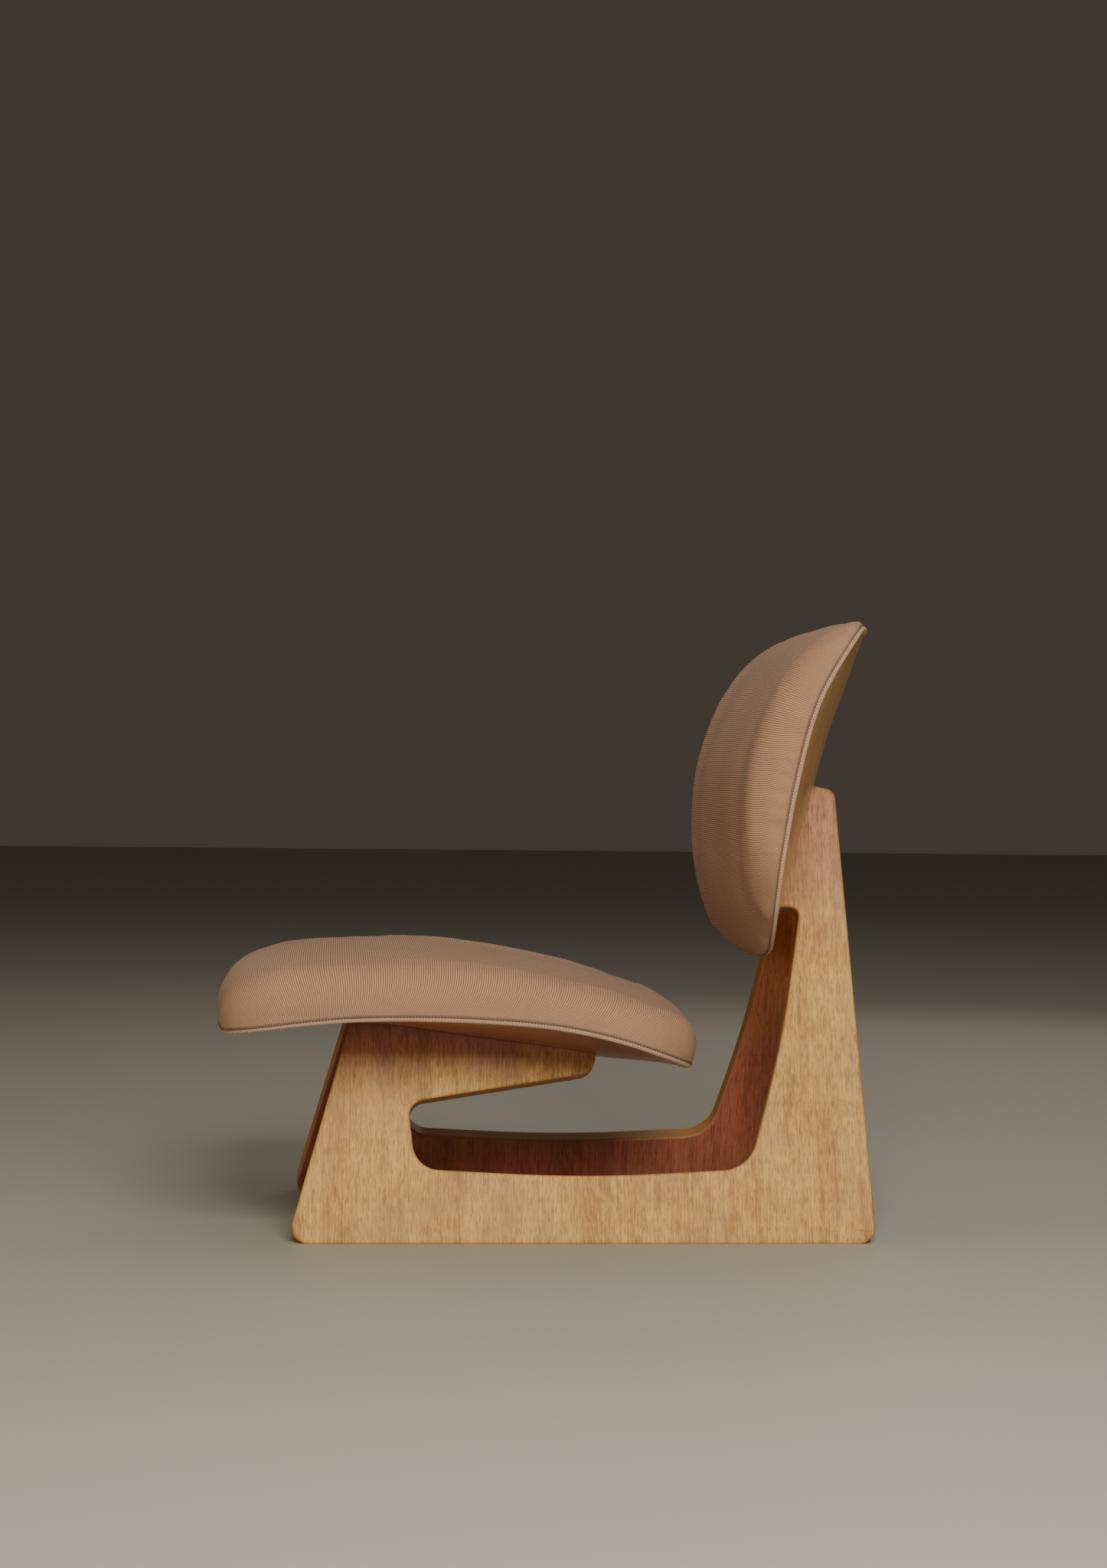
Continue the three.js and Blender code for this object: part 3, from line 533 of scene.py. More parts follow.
front_path = rounded_path([beyond_seat(arm_front), *runner_ends, upright_rear, beyond_back(upright_top)])
window_path = rounded_path([beyond_back(notch_foot), notch, upright_knee, upright_foot, runner_dip,
                            window_low, window_high, arm_nose, beyond_seat(arm_end)])


def panel_ring(n, inset, gap):
    """The outline at depth n, moved in by inset: window, bearing edges and outer edge in one"""
    lines = {key: bearing_line(form, n, gap) for key, form in forms.items()}

    def met(a, b, which):
        way = (b - a) / np.linalg.norm(b - a)
        off = (lines[which][0] - a[0]) * way[1] - (lines[which][1] - a[1]) * way[0]
        order = np.argsort(off)
        place = np.interp(0, off[order], np.arange(len(off))[order].astype(float))
        return np.array([np.interp(place, np.arange(len(off)), line) for line in lines[which]])

    outer = path_points(front_path, inset, lambda a, b: met(a, b, "seat"), lambda a, b: met(a, b, "back"))
    inner = path_points(window_path, inset, lambda a, b: met(a, b, "back"), lambda a, b: met(a, b, "seat"))
    spans = []
    for which, start, stop in (("back", outer[-1], inner[0]), ("seat", inner[-1], outer[0])):
        axis = 1 if which == "back" else 0
        goals = np.linspace(start[axis], stop[axis], 61)[1:-1]
        other = np.interp(goals, lines[which][axis], lines[which][1 - axis])
        spans.append([np.array([o, g] if axis else [g, o]) for g, o in zip(goals, other)])
    ring = np.array(outer + spans[0] + inner + spans[1])
    ring[:, 1] = np.maximum(ring[:, 1], -n * math.tan(lean))
    return ring


turns = [math.radians(15 * i) for i in range(7)]
rings = [(0, edge_round + 0.002, 0.0018, 1.0)]
rings += [(edge_round * (math.cos(t) - 1), edge_round * (1 - math.sin(t)), bearing_gap, math.cos(t))
          for t in turns]
rings += [(-panel_thickness * k / 5, 0, bearing_gap, 0.0) for k in (1, 2, 3, 4)]
rings += [(-panel_thickness - n, inset, gap, -side) for n, inset, gap, side in rings[7:0:-1] + rings[:1]]
points, grain, sides, depths = [], [], [], []
for n, inset, gap, side in rings:
    ring = panel_ring(n, inset, gap)
    points.append(on_panel(ring[:, 0], ring[:, 1], np.full(len(ring), n)))
    grain.append(ring)
    sides += [side] * len(ring)
    depths += [-n] * len(ring)
count = len(grain[0])
faces = [(a, d, c, b) for a, b, c, d in ring_faces(len(rings), count)]
faces.append(tuple(range(count)))
faces.append(tuple(range((len(rings) - 1) * count, len(rings) * count))[::-1])
points, grain = np.concatenate(points), np.concatenate(grain)

panel_wood, w, shader = new_material("panel_veneer")
grain_map = w.uv("grain")
bleached = veneered(w, grain_map, (0.86, 0.505, 0.14), (0.38, 0.169, 0.038),
                    (0.19, 0.08, 0.024), 0.55, 0.8)
# A darker copy of the outer veneer: partly veneer the sun has not bleached, partly painted shade
unbleached_and_shade_veneer = veneered(w, grain_map, (0.58, 0.22, 0.19), (0.32, 0.108, 0.09),
                  (0.12, 0.045, 0.02), 0.45, 0.6)
lacquered = veneered(w, grain_map, (0.60, 0.19, 0.11), (0.28, 0.075, 0.045),
                     (0.03, 0.008, 0.003), 0.3, 0.45)
# A lighter copy of the inner veneer: painted light for the upper inner face of the upright, which the lamp
# reaches past the seat while the lower inner face lies in the seat's shadow
painted_light_veneer = veneered(w, grain_map, (1.0, 0.40, 0.13), (0.62, 0.21, 0.065),
                  (0.09, 0.03, 0.012), 0.3, 0.45)
along, up, _ = w.split(grain_map)
patchy = w.noise(grain_map, (12, 12, 1), 2.0, 0.5)
worn = w.mix(w.ramp(patchy, 0.42, 0.68, 0.0, 0.35), bleached["Color"], (0.50, 0.30, 0.13))
uneven = w.times(w.less(patchy, 0.5), 0.06)
# Painted shade under the seat: the outer face turns to the darker copy, partly less bleached and partly the
# seat's shadow, and right under the bearing edge to a near-black painted shadow
under_seat_painted_shade = w.times(w.ramp(along, 0.12, 0.03), w.ramp(w.plus(up, uneven), 0.150, 0.238))
painted_seat_shadow = w.times(under_seat_painted_shade, w.ramp(up, 0.205, 0.245, 0.0, 0.62))
# Painted shade: the top of the upright is painted darker and more orange, where less light reaches it
painted_shade_high_up = w.times(w.ramp(up, 0.30, 0.46, 0.0, 0.55), w.ramp(along, 0.10, 0.14), 0.9)
outer = w.mix(w.calc("MAXIMUM", under_seat_painted_shade, painted_shade_high_up), worn, unbleached_and_shade_veneer["Color"])
outer = w.mix(painted_seat_shadow, outer, (0.12, 0.04, 0.018))
# Painted light: the inner face turns to the lighter copy up the upright
painted_light_mask = w.times(w.ramp(up, 0.17, 0.31), w.ramp(along, 0.08, 0.15))
inner = w.mix(painted_light_mask, lacquered["Color"], painted_light_veneer["Color"])


def scratch(start, stop, width):
    """A mask along a short line on the panel, from start to stop in its own y and w"""
    way = np.subtract(stop, start)
    long = float(np.linalg.norm(way))
    way = way / long
    off = w.vector("SUBTRACT", grain_map, (*start, 0))
    ahead = w.vector("DOT_PRODUCT", off, (*way, 0), outlet=1)
    aside = w.calc("ABSOLUTE", w.vector("DOT_PRODUCT", off, (-way[1], way[0], 0), outlet=1))
    inside = w.times(w.ramp(ahead, 0.0, 0.002), w.ramp(ahead, long, long - 0.002))
    return w.times(inside, w.ramp(aside, width, width * 0.3))


for start, stop, width, depth in (((0.279, 0.0145), (0.296, 0.0130), 0.0006, 0.6),
                                  ((0.281, 0.0115), (0.297, 0.0045), 0.0005, 0.4),
                                  ((0.262, 0.151), (0.283, 0.144), 0.0006, 0.35)):
    outer = w.mix(w.times(scratch(start, stop, width), depth), outer, (0.16, 0.08, 0.035))
plies = w.ramp(w.calc("SINE", w.times(w.read("depth"), math.pi / panel_ply)), -0.5, 0.5)
sawn = w.mix(w.times(plies, 0.45), (0.48, 0.235, 0.075), (0.34, 0.155, 0.046))
side = w.read("side")
color = w.mix(w.ramp(side, -0.55, -0.97), w.mix(w.ramp(side, 0.30, 0.85), sawn, outer), inner)
rough = w.plus(w.ramp(side, -0.9, 0.2, 0.34, 0.52), w.times(patchy, 0.06))
w.fill(shader, Base_Color=color, Roughness=rough, Specular_IOR_Level=0.4,
       Normal=w.bump(0.3, 0.0003, bleached["Height"]))

for hand, mirror in (("left", False), ("right", True)):
    panel = finished_mesh(f"side_panel_{hand}_wood", points, faces, grain,
                          values={"side": sides, "depth": depths}, mirror=mirror)
    panel.data.materials.append(panel_wood)
    dressed(panel, "panel_veneer", f"side_panel_{hand}")

# Cross rails and dowels: two solid boards between the panels, one under the seat and one behind
# the back's foot, in the red-brown lacquer of the inner faces, held by blind beech dowels


def refinish(names, material):
    for key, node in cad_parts.items():
        if any(name in key for name in names):
            node.data.materials.clear()
            node.data.materials.append(material)


def solid_wood(name, across_and_along, *look, rough, gloss=0.14, relief=0.2):
    """A wood whose grain follows its place, with look as veneered takes it from light on"""
    wood, w, shader = new_material(name)
    across, along = across_and_along(w, *w.split(w.here()))
    grained = veneered(w, w.point(X=across, Y=along), *look)
    w.fill(shader, Base_Color=grained["Color"],
           Roughness=w.less(rough, w.times(grained["Gloss Mask"], gloss)))
    if relief:
        w.fill(shader, Normal=w.bump(relief, 0.0003, grained["Height"]))
    return wood


refinish(("cross_rail",), solid_wood(
    "rail_wood", lambda w, x, y, z: (w.plus(z, w.times(y, 0.8)), x),
    (0.24, 0.082, 0.026), (0.12, 0.036, 0.012), (0.03, 0.01, 0.004), 0.4, 0.4, rough=0.5))
refinish(("dowel",), solid_wood(
    "dowel_beech", lambda w, x, y, z: (z, x),
    (0.62, 0.42, 0.24), (0.5, 0.31, 0.17), (0.3, 0.16, 0.08), 0.3, 0.2, rough=0.6, gloss=0.0, relief=0.0))

# Cleats and their screws: a batten along each bearing edge of the panels, shaped on top by the
# shell, screwed to the panel's inner face with two slotted countersunk steel screws


def cleat_grain(w, x, y, z):
    """Along y under the seat, along z behind the back"""
    rising = w.calc("GREATER_THAN", z, 0.28)
    level = w.less(1.0, rising)
    return (w.plus(x, w.plus(w.times(z, level), w.times(y, rising))),
            w.plus(w.times(y, level), w.times(z, rising)))


refinish(("_cleat_left", "_cleat_right"), solid_wood(
    "cleat_wood", cleat_grain,
    (0.26, 0.095, 0.032), (0.14, 0.044, 0.014), (0.035, 0.012, 0.005), 0.4, 0.4, rough=0.42, gloss=0.0))

cleat_face, cleat_width, cleat_height = -panel_thickness - 0.0003, 0.020, 0.024
cleat_ends = {"seat": (-half_base + 0.107, -half_base + 0.297), "back": (0.373, 0.473)}


def bearing_place(form, share, n):
    """Where a shell rests at depth n: the place, the way into the shell, and its w on the panel"""
    a, x = share * form.length, 0.15
    for _ in range(12):
        up = form.at(a, x, 0)[0][2] / math.cos(lean)
        x = panel_foot - up * math.sin(lean) + n * math.cos(lean)
    point, normal = form.at(a, x, 0)
    return a, point, normal, (point[2] - n * math.sin(lean)) / math.cos(lean)


def share_at(key, goal):
    along = bearing[key][1 if key == "back" else 0]
    return float(np.interp(goal, along, forms[key].places)) / forms[key].length


cleat_spans = {key: [share_at(key, goal) for goal in ends] for key, ends in cleat_ends.items()}

# One turned fixing with a driving recess, put at every vertex of the mesh it is run on
fixing_sizes = ("Face Radius", "Rim Height", "Head Radius", "Head Height", "Neck Height", "Shank Radius",
                "Shank Length", "Tip Length", "Tip Radius", "Slot Width", "Drive Radius", "Drive Depth")
fixing, taken, given, w = new_tree("turned_fixing", "GeometryNodeTree", [
    ("Places", "Geometry"), *((key, "Float") for key in fixing_sizes), ("Axis", "Vector"),
    ("Seed", "Int"), ("Metal", "Material")], [("Fixings", "Geometry")])
body = w.node("GeometryNodeMeshCircle", settings={"fill_type": "NGON"}, Vertices=28,
              Radius=taken["Face Radius"])
face, radius, height = True, taken["Face Radius"], 0.0
for wide, high in (("Head Radius", "Rim Height"), ("Head Radius", "Head Height"),
                   ("Shank Radius", "Neck Height"), ("Shank Radius", "Shank Length"),
                   ("Tip Radius", "Tip Length")):
    goal = w.plus(taken[high], taken["Shank Length"] if high == "Tip Length" else 0.0)
    step = w.place("GeometryNodeExtrudeMesh", {"mode": "FACES"}, Mesh=body, Selection=face,
                   Offset=w.point(Z=w.less(goal, height)), Offset_Scale=1.0, Individual=False)
    scaled = w.place("GeometryNodeScaleElements", {"domain": "FACE"}, Geometry=step.outputs["Mesh"],
                     Selection=step.outputs["Top"], Scale=w.calc("DIVIDE", taken[wide], radius))
    body, face, radius, height = scaled.outputs["Geometry"], step.outputs["Top"], taken[wide], goal
deep = w.times(taken["Drive Depth"], 2.0)
long = w.times(taken["Head Radius"], 3.0)
slot = w.node("GeometryNodeMeshCube", Size=w.point(X=long, Y=taken["Slot Width"], Z=deep))
socket = w.node("GeometryNodeMeshCylinder", Vertices=6, Radius=taken["Drive Radius"], Depth=deep)
drive = w.node("GeometryNodeSwitch", settings={"input_type": "GEOMETRY"},
               Switch=w.calc("GREATER_THAN", taken["Drive Radius"], 0.0), _1=slot, _2=socket)
body = w.node("GeometryNodeMeshBoolean", settings={"operation": "DIFFERENCE", "solver": "EXACT"},
              _0=body, _1=drive)
along = w.node("FunctionNodeAlignRotationToVector", settings={"axis": "Z"}, Vector=taken["Axis"])
spin = w.node("FunctionNodeRandomValue", 1, {"data_type": "FLOAT"}, _2=0.0, _3=2 * math.pi,
              Seed=taken["Seed"])
facing = w.node("FunctionNodeRotateRotation", settings={"rotation_space": "LOCAL"}, Rotation=along,
                _1=w.node("FunctionNodeEulerToRotation", Euler=w.point(Z=spin)))
spots = w.node("GeometryNodeMeshToPoints", Mesh=taken["Places"])
placed = w.node("GeometryNodeInstanceOnPoints", Points=spots, Instance=body, Rotation=facing)
w.join(w.made_of(placed, taken["Metal"]), given["Fixings"])


def settled(piece):
    """The piece's mesh with what its modifiers do to it, and the modifiers taken off"""
    graph = bpy.context.evaluated_depsgraph_get()
    held = piece.evaluated_get(graph)
    piece.data = bpy.data.meshes.new_from_object(held, preserve_all_data_layers=True, depsgraph=graph)
    piece.modifiers.clear()
    return piece.data


def grown(name, tree, points, edges, sizes, sharp=80):
    """A geometry tree run on points and edges, and what it makes kept as a plain mesh"""
    start = bpy.data.meshes.new(f"{name}_start")
    start.from_pydata(np.asarray(points, float).tolist(), edges, [])
    piece = added(name, start)
    step = piece.modifiers.new("made", "NODES")
    step.node_group = tree
    sockets = {item.name: item.identifier for item in tree.interface.items_tree if item.in_out == "INPUT"}
    for key, value in sizes.items():
        step[sockets[key]] = value
    mesh = settled(piece)
    mesh.name = name
    mesh.shade_smooth()
    mesh.set_sharp_from_angle(angle=math.radians(sharp))
    return piece


steel, w, shader = new_material("steel")
spot = w.here()
smudge = w.noise(spot, (220, 220, 220), 3.0, 0.6)
turning = w.noise(spot, (1400, 1400, 5200), 2.0, 0.6)
w.fill(shader, Base_Color=w.mix(w.ramp(smudge, 0.4, 0.7), (0.52, 0.515, 0.50), (0.36, 0.345, 0.32)),
       Metallic=1.0, Roughness=w.ramp(smudge, 0.3, 0.75, 0.26, 0.48), Normal=w.bump(0.12, 0.0001, turning))


def fixings(kind, shares, placed, seed_step, sizes):
    """Turned steel pieces along the cleats of both units: placed gives the head's place and axis"""
    for key, form in forms.items():
        low, high = cleat_spans[key]
        for i, share in enumerate(shares):
            head, axis = placed(form, low + (high - low) * share)
            for hand, way in (("left", 1), ("right", -1)):
                name = f"{key}_{kind}_{i + 1}_{hand}"
                side = (way, 1, 1)
                held = {**sizes, "Axis": (axis * side).tolist(), "Seed": seed_step * i + way, "Metal": steel}
                piece = grown(f"{name}_turned", fixing, [head * side], [], held, sharp=35)
                dressed(piece, "steel", name)


def screw_place(form, share):
    a, point, _, up = bearing_place(form, share, cleat_face - cleat_width / 2)
    into = -form.at(a, 0, 0)[1] * cleat_height / 2
    head = on_panel(point[1] - row_shift + into[1], up + into[2] / math.cos(lean), cleat_face - cleat_width)
    return head, np.array((math.cos(lean), 0, math.sin(lean)))


fixings("cleat_screw", (0.09, 0.91), screw_place, 3, {
    "Face Radius": 0.0038, "Rim Height": 0.0002, "Head Radius": 0.004, "Head Height": 0.0004,
    "Neck Height": 0.0022, "Shank Radius": 0.002, "Shank Length": 0.027, "Tip Length": 0.005,
    "Tip Radius": 0.0002, "Slot Width": 0.0009, "Drive Depth": 0.0011})

# Connector bolts and tee nuts: cap bolts with a hexagon socket pass up through counterbored holes
# in the cleats into flanged tee nuts, which are let into the shells under the foam

bolt_grip, bolt_head = 0.016, 0.0032


def bolt_place(form, share):
    _, point, normal, _ = bearing_place(form, share, cleat_face - cleat_width / 2)
    return point - normal * (bolt_grip + bolt_head), normal


fixings("bolt", (0.27, 0.73), bolt_place, 5, {
    "Face Radius": 0.0059, "Rim Height": 0.0006, "Head Radius": 0.0065, "Head Height": 0.0031,
    "Neck Height": 0.0032, "Shank Radius": 0.003, "Shank Length": 0.0254, "Tip Length": 0.0006,
    "Tip Radius": 0.0025, "Drive Radius": 0.0023, "Drive Depth": 0.002})
refinish(("tee_nut",), steel)

# Cushions: moulded foam on each shell under a dusty-rose twill cover, drawn tight and sewn to the
# piping. The twill's ribs run across the seat and the back and turn to follow the piping at the
# corners. A coarser cover, blown up as cloth and held at its hem, lends the skin its unevenness.

hem_height, cover_foot, roll_bulge, roll_power, crown_softness = 0.0032, 0.0093, 0.003, 0.8, 0.14
slump_start, spare_share, drag_length, ease_step = 0.11, 1.7, 0.05, 0.0035
pads = {
    "seat": {"pad": 0.061, "pad_shares": (1.03, 1.04, 1.11, 0.95, 0.8), "crown": 0.020,
             "crown_shares": (0.4, 0.35, 0.75, 1.15, 0.95), "slump": 0.003, "bias": 0.13,
             "drag": (0.15, 0.19)},
    "back": {"pad": 0.064, "pad_shares": (0.46, 0.79, 1.06, 0.94, 0.66), "crown": 0.018,
             "crown_shares": (0.4, 0.92, 1.25, 1.05, 1.05), "slump": 0.009, "bias": 0.07,
             "drag": (-0.3, -0.3, -0.2, 0.02, 0.12)},
}
ease_times, gather_strength = {"seat": 30, "back": 110}, {"seat": 0.1, "back": 0.3}
ease_from, ease_full, swell_full, swell_limit = 0.006, 0.02, 0.02, 0.0016
gather_waves, gather_reach, gather_full, on_rolls = (0.015, 0.0085, 0.0048), 0.011, 0.0025, 0.2

# Cloth is a place in metres, x along a rib and y from rib to rib
cover_cloth, w, shader = new_material("cover_fabric")
thread, groove = (0.53, 0.313, 0.190), (0.20, 0.10, 0.057)
twill_rib, float_length, wear = 0.0022, 0.003, 0.12
cloth = w.uv("cloth")
along, across, _ = w.split(cloth)
waver = w.times(w.less(w.noise(cloth, (90, 240, 1), 2.0, 0.5), 0.5), 0.5)
rib = w.plus(w.calc("DIVIDE", across, twill_rib), waver)
ridge = w.calc("ABSOLUTE", w.calc("SINE", w.times(rib, math.pi)))
shifted = w.plus(w.calc("DIVIDE", along, float_length), w.times(w.calc("FLOOR", rib), 0.38))
dash = w.calc("ABSOLUTE", w.calc("SINE", w.times(w.plus(shifted, w.times(rib, 0.2)), math.pi)))
floats = w.plus(0.62, w.times(w.calc("POWER", dash, 0.6), 0.38))
height = w.times(w.calc("POWER", ridge, 0.7), floats)
faded = w.ramp(w.noise(cloth, (9, 9, 1), 3.0, 0.55), 0.35, 0.7)
slub = w.ramp(w.noise(cloth, (60, 700, 1), 2.0, 0.6), 0.45, 0.75)
tone = w.mix(w.times(faded, wear), w.mix(w.ramp(height, 0.15, 0.95), groove, thread), groove)
tone = w.mix(w.times(slub, 0.14), tone, groove)
spot_place = (0.2705, -0.1765, 0.2575)
stain = w.ramp(w.vector("DISTANCE", w.here(), spot_place, outlet=1), 0.0065, 0.0035, 0.0, 0.16)
# Painted shade in the crease along the hem: the cover is darkened just above the piping
seam = w.ramp(w.read("hem"), 0.0030, 0.0004, 0.0, 0.75)
x, y, z = w.split(w.here())
# Painted shade: the lower side rolls of the back are painted darker, where the roll turns under and away
# from the lamp
painted_shade_back_foot = w.times(w.ramp(z, 0.44, 0.32, 0.0, 0.5), w.ramp(w.calc("ABSOLUTE", x), 0.19, 0.25),
                  w.ramp(y, 0.16, 0.20))
# The stain is real; the hem crease and the foot of the back's side rolls are painted shade
stains_and_painted_shade = w.calc("MAXIMUM", w.calc("MAXIMUM", stain, seam), painted_shade_back_foot)
w.fill(shader, Base_Color=w.mix(stains_and_painted_shade, tone, (0.16, 0.085, 0.055)), Roughness=0.86, Sheen_Weight=0.04,
       Sheen_Roughness=0.5, Normal=w.bump(0.42, 0.0005, height))


def cover_skin(form, pad, pad_shares, crown, crown_shares, slump, bias, drag, steps, roll_rings):
    """The cover as a closed skin over its foam: points, places in the cloth, distance from the
    hem along the cloth, run round the hem, and faces"""
    core_x = half_width - side_roll

    def top(a, x):
        fall = 1 - (x / core_x) ** 2
        soft = (fall + np.hypot(fall, crown_softness)) / 2
        edge = np.clip((np.abs(x) - slump_start) / (core_x - slump_start), 0, 1)
        rounded = slump * (0.45 - edge**2 * (3 - 2 * edge))
        return pad * form.shared(pad_shares, a) + crown * form.shared(crown_shares, a) * soft + rounded

    tuck = [(0.0056, 1, cover_foot), (0.0056, 0.5, cover_foot), (0.0056, 0, cover_foot), (0.0056, 0, 0.0068),
            (0.0046, 0, 0.0052), (0.0034, 0, 0.0043), (0.0022, 0, 0.0040), (0.0011, 0, 0.0036),
            (0.0003, 0, 0.0031)]
    rings = list(tuck)
    for i in range(roll_rings + 1):
        turn = math.pi / 2 * i / roll_rings
        rise = math.sin(turn) ** roll_power
        share = 1 - max(math.cos(turn), 0) ** roll_power if i < roll_rings else 1.0
        rings.append((-roll_bulge * math.sin(2 * turn), share,
                      lambda a, x, rise=rise: hem_height + (top(a, x) - hem_height) * rise))
    points, spots, _, faces = rings_and_core(form, rings, cover_foot, top, steps)
    rows = form.stations(*steps)
    shape = (len(rings), len(rows), -1)
    rolled = len(rings) * len(rows)

    def to_core(places):
        """How far each point of the rings is from the core, along its own column"""
        gaps = np.linalg.norm(np.diff(places[:rolled].reshape(shape), axis=0), axis=2)
        return np.concatenate([np.cumsum(gaps[::-1], axis=0)[::-1], np.zeros((1, len(rows)))])

    away = to_core(points)
    edge = points[:rolled].reshape(shape)[len(tuck)]
    run = np.concatenate([[0], np.cumsum(np.linalg.norm(np.diff(edge, axis=0), axis=1))])
    near = np.abs(run[:, None] - run[None])
    weights = np.exp(-(np.minimum(near, run[-1] - near) / bias) ** 2)
    pulled = weights / weights.sum(axis=1)[:, None] @ rows[:, 2:4]
    aslant = form.shared(drag, rows[:, 0]) * pulled[:, 1] ** 2 / drag_length
    spare = np.maximum(away - to_core(spots), 0) * spare_share
    cloth = spots.copy()
    cloth[:rolled, 0] += (pulled[:, 1] * spare).ravel()
    cloth[:rolled, 1] += (pulled[:, 0] * spare + aslant * spare**2).ravel()
    inner = len(points) - rolled
    hem = np.concatenate([np.maximum(away[len(tuck)] - away, 0).ravel(), np.ones(inner)])
    return points, cloth, hem, np.concatenate([np.tile(run, len(rings)), np.zeros(inner)]), faces


def swelling(key, form):
    """Where and how far the cover swells as cloth with air under it, held along its hem, found on
    a coarser copy of it that is taken away afterwards"""
    points, cloth, hem, _, faces = cover_skin(form, **pads[key], steps=(40, 8, 36), roll_rings=10)
    trial = finished_mesh(f"{key}_trial", points, faces, cloth, weld=1e-6, values={"hem": hem})
    mesh = trial.data
    start, ways = listed(mesh.vertices, "co", 3), listed(mesh.vertex_normals, "vector", 3)
    group = trial.vertex_groups.new(name="held")
    for i, weight in enumerate(np.clip(1 - listed(mesh.attributes["hem"].data, "value") / 0.010, 0, 1)):
        group.add([i], float(weight), "REPLACE")
    blown = trial.modifiers.new("blown", "CLOTH")
    for name, value in {"quality": 6, "mass": 0.3, "tension_stiffness": 18, "compression_stiffness": 18,
                        "shear_stiffness": 8, "bending_stiffness": 0.6, "vertex_group_mass": "held",
                        "pin_stiffness": 1.0, "use_pressure": True, "uniform_pressure_force": 4.0}.items():
        setattr(blown.settings, name, value)
    blown.settings.effector_weights.gravity = 0.0
    blown.collision_settings.use_collision = False
    last_frame = 20
    blown.point_cache.frame_start, blown.point_cache.frame_end = 1, last_frame
    for number in range(1, last_frame + 1):
        bpy.context.scene.frame_set(number)
    swollen = trial.evaluated_get(bpy.context.evaluated_depsgraph_get())
    moved = listed(swollen.to_mesh().vertices, "co", 3)
    swollen.to_mesh_clear()
    bpy.data.objects.remove(trial)
    bpy.data.meshes.remove(mesh)
    bpy.context.scene.frame_set(1)
    return start, ((moved - start) * ways).sum(axis=1)


def carried(key, form, spots):
    """The swell at each spot, from the four nearest points of the coarser copy"""
    places, swell = swelling(key, form)
    swell = np.clip(swell, 0, 0.006)
    near = KDTree(len(places))
    for i, place in enumerate(places):
        near.insert(place, i)
    near.balance()
    held = []
    for spot in spots:
        shares = [(swell[i], 1 / (gap + 1e-4)) for _, i, gap in near.find_n(spot, 4)]
        held.append(sum(value * share for value, share in shares) / sum(share for _, share in shares))
    return np.array(held)


def skin_weights(mesh, spots):
    """How strongly the ends of each edge pull on each other, and how far each point gives way"""
    pairs = listed(mesh.edges, "vertices", 2, np.int32)
    areas, sides = listed(mesh.polygons, "area"), listed(mesh.polygons, "loop_total", 1, np.int32)
    of_face = np.repeat(np.arange(len(areas)), sides)
    beside = np.bincount(listed(mesh.loops, "edge_index", 1, np.int32), areas[of_face], len(pairs))
    corner = listed(mesh.loops, "vertex_index", 1, np.int32)
    around = np.bincount(corner, (areas / sides)[of_face], len(spots))
    weight = beside / 2 / ((spots[pairs[:, 0]] - spots[pairs[:, 1]]) ** 2).sum(axis=1)
    pull = np.bincount(pairs[:, 0], weight, len(spots)) + np.bincount(pairs[:, 1], weight, len(spots))
    return pairs, weight, np.minimum(ease_step**2 / 8 / around, 0.5 / pull)


def spread(values, weights, times, free=1.0):
    """Values on the points of a mesh after they have run into each other like heat"""
    pairs, weight, give = weights
    values = np.array(values, float)
    for _ in range(times):
        for column in values.T if values.ndim > 1 else (values,):
            flow = weight * (column[pairs[:, 1]] - column[pairs[:, 0]])
            column += give * free * (np.bincount(pairs[:, 0], flow, len(column))
                                     - np.bincount(pairs[:, 1], flow, len(column)))
    return values


gathers = np.random.default_rng(11)
for key, form in forms.items():
    points, cloth, hem, runs, faces = cover_skin(form, **pads[key], steps=(84, 20, 76), roll_rings=22)
    cushion = finished_mesh(f"{key}_cushion", points, faces, cloth, uv_name="cloth", sharp=75, weld=1e-6,
                            values={"hem": hem, "run": runs})
    mesh = cushion.data
    hem, runs = (listed(mesh.attributes[name].data, "value") for name in ("hem", "run"))
    spots, ways = listed(mesh.vertices, "co", 3), listed(mesh.vertex_normals, "vector", 3)
    weights = skin_weights(mesh, spots)
    eased = spread(spots, weights, ease_times[key], np.clip((hem - ease_from) / ease_full, 0, 1))
    lift = ((eased - spots) * ways).sum(axis=1)
    above = hem < on_rolls
    swell = carried(key, form, spots)
    uneven = spread(swell, weights, 10) - spread(swell, weights, 160)
    lift += np.clip(uneven, -swell_limit, swell_limit) * np.clip(hem / swell_full, 0, 1) * above
    puckers, span = np.zeros(len(hem)), runs.max()
    for size in gather_waves:
        waves = round(span / size)
        knots = gathers.uniform(-1, 1, waves)
        knots = np.append(knots, knots[0])
        puckers += np.interp(runs / span * waves, np.arange(waves + 1), knots) * size
    fade = np.exp(-hem / gather_reach) * np.clip(hem / gather_full, 0, 1) * above
    lift += puckers * gather_strength[key] * fade
    mesh.vertices.foreach_set("co", (spots + ways * lift[:, None]).ravel())
    rounder = cushion.modifiers.new("rounder", "SUBSURF")
    rounder.levels = rounder.render_levels = 1
    mesh = settled(cushion)
    mesh.materials.clear()
    mesh.materials.append(cover_cloth)
    mesh.shade_smooth()
    dressed(cushion, "cover_fabric", f"{key}_cover", f"{key}_foam")

# Piping: a cord in bias-cut cover cloth, sewn round each unit's edge between cover and shell with
# one row of dark stitches in the seam. The twill's ribs wind round the cord.

cord_radius, cord_drop, cord_inset, cord_pitch, cord_ribs = 0.0025, 0.0016, 0.0028, 0.0031, 5.0
cord_step, cord_sides, cord_relief = 0.0006, 20, 0.00012
seam_gap, stitch_pitch, stitch_length, stitch_width = 0.00005, 0.0032, 0.0021, 0.00065

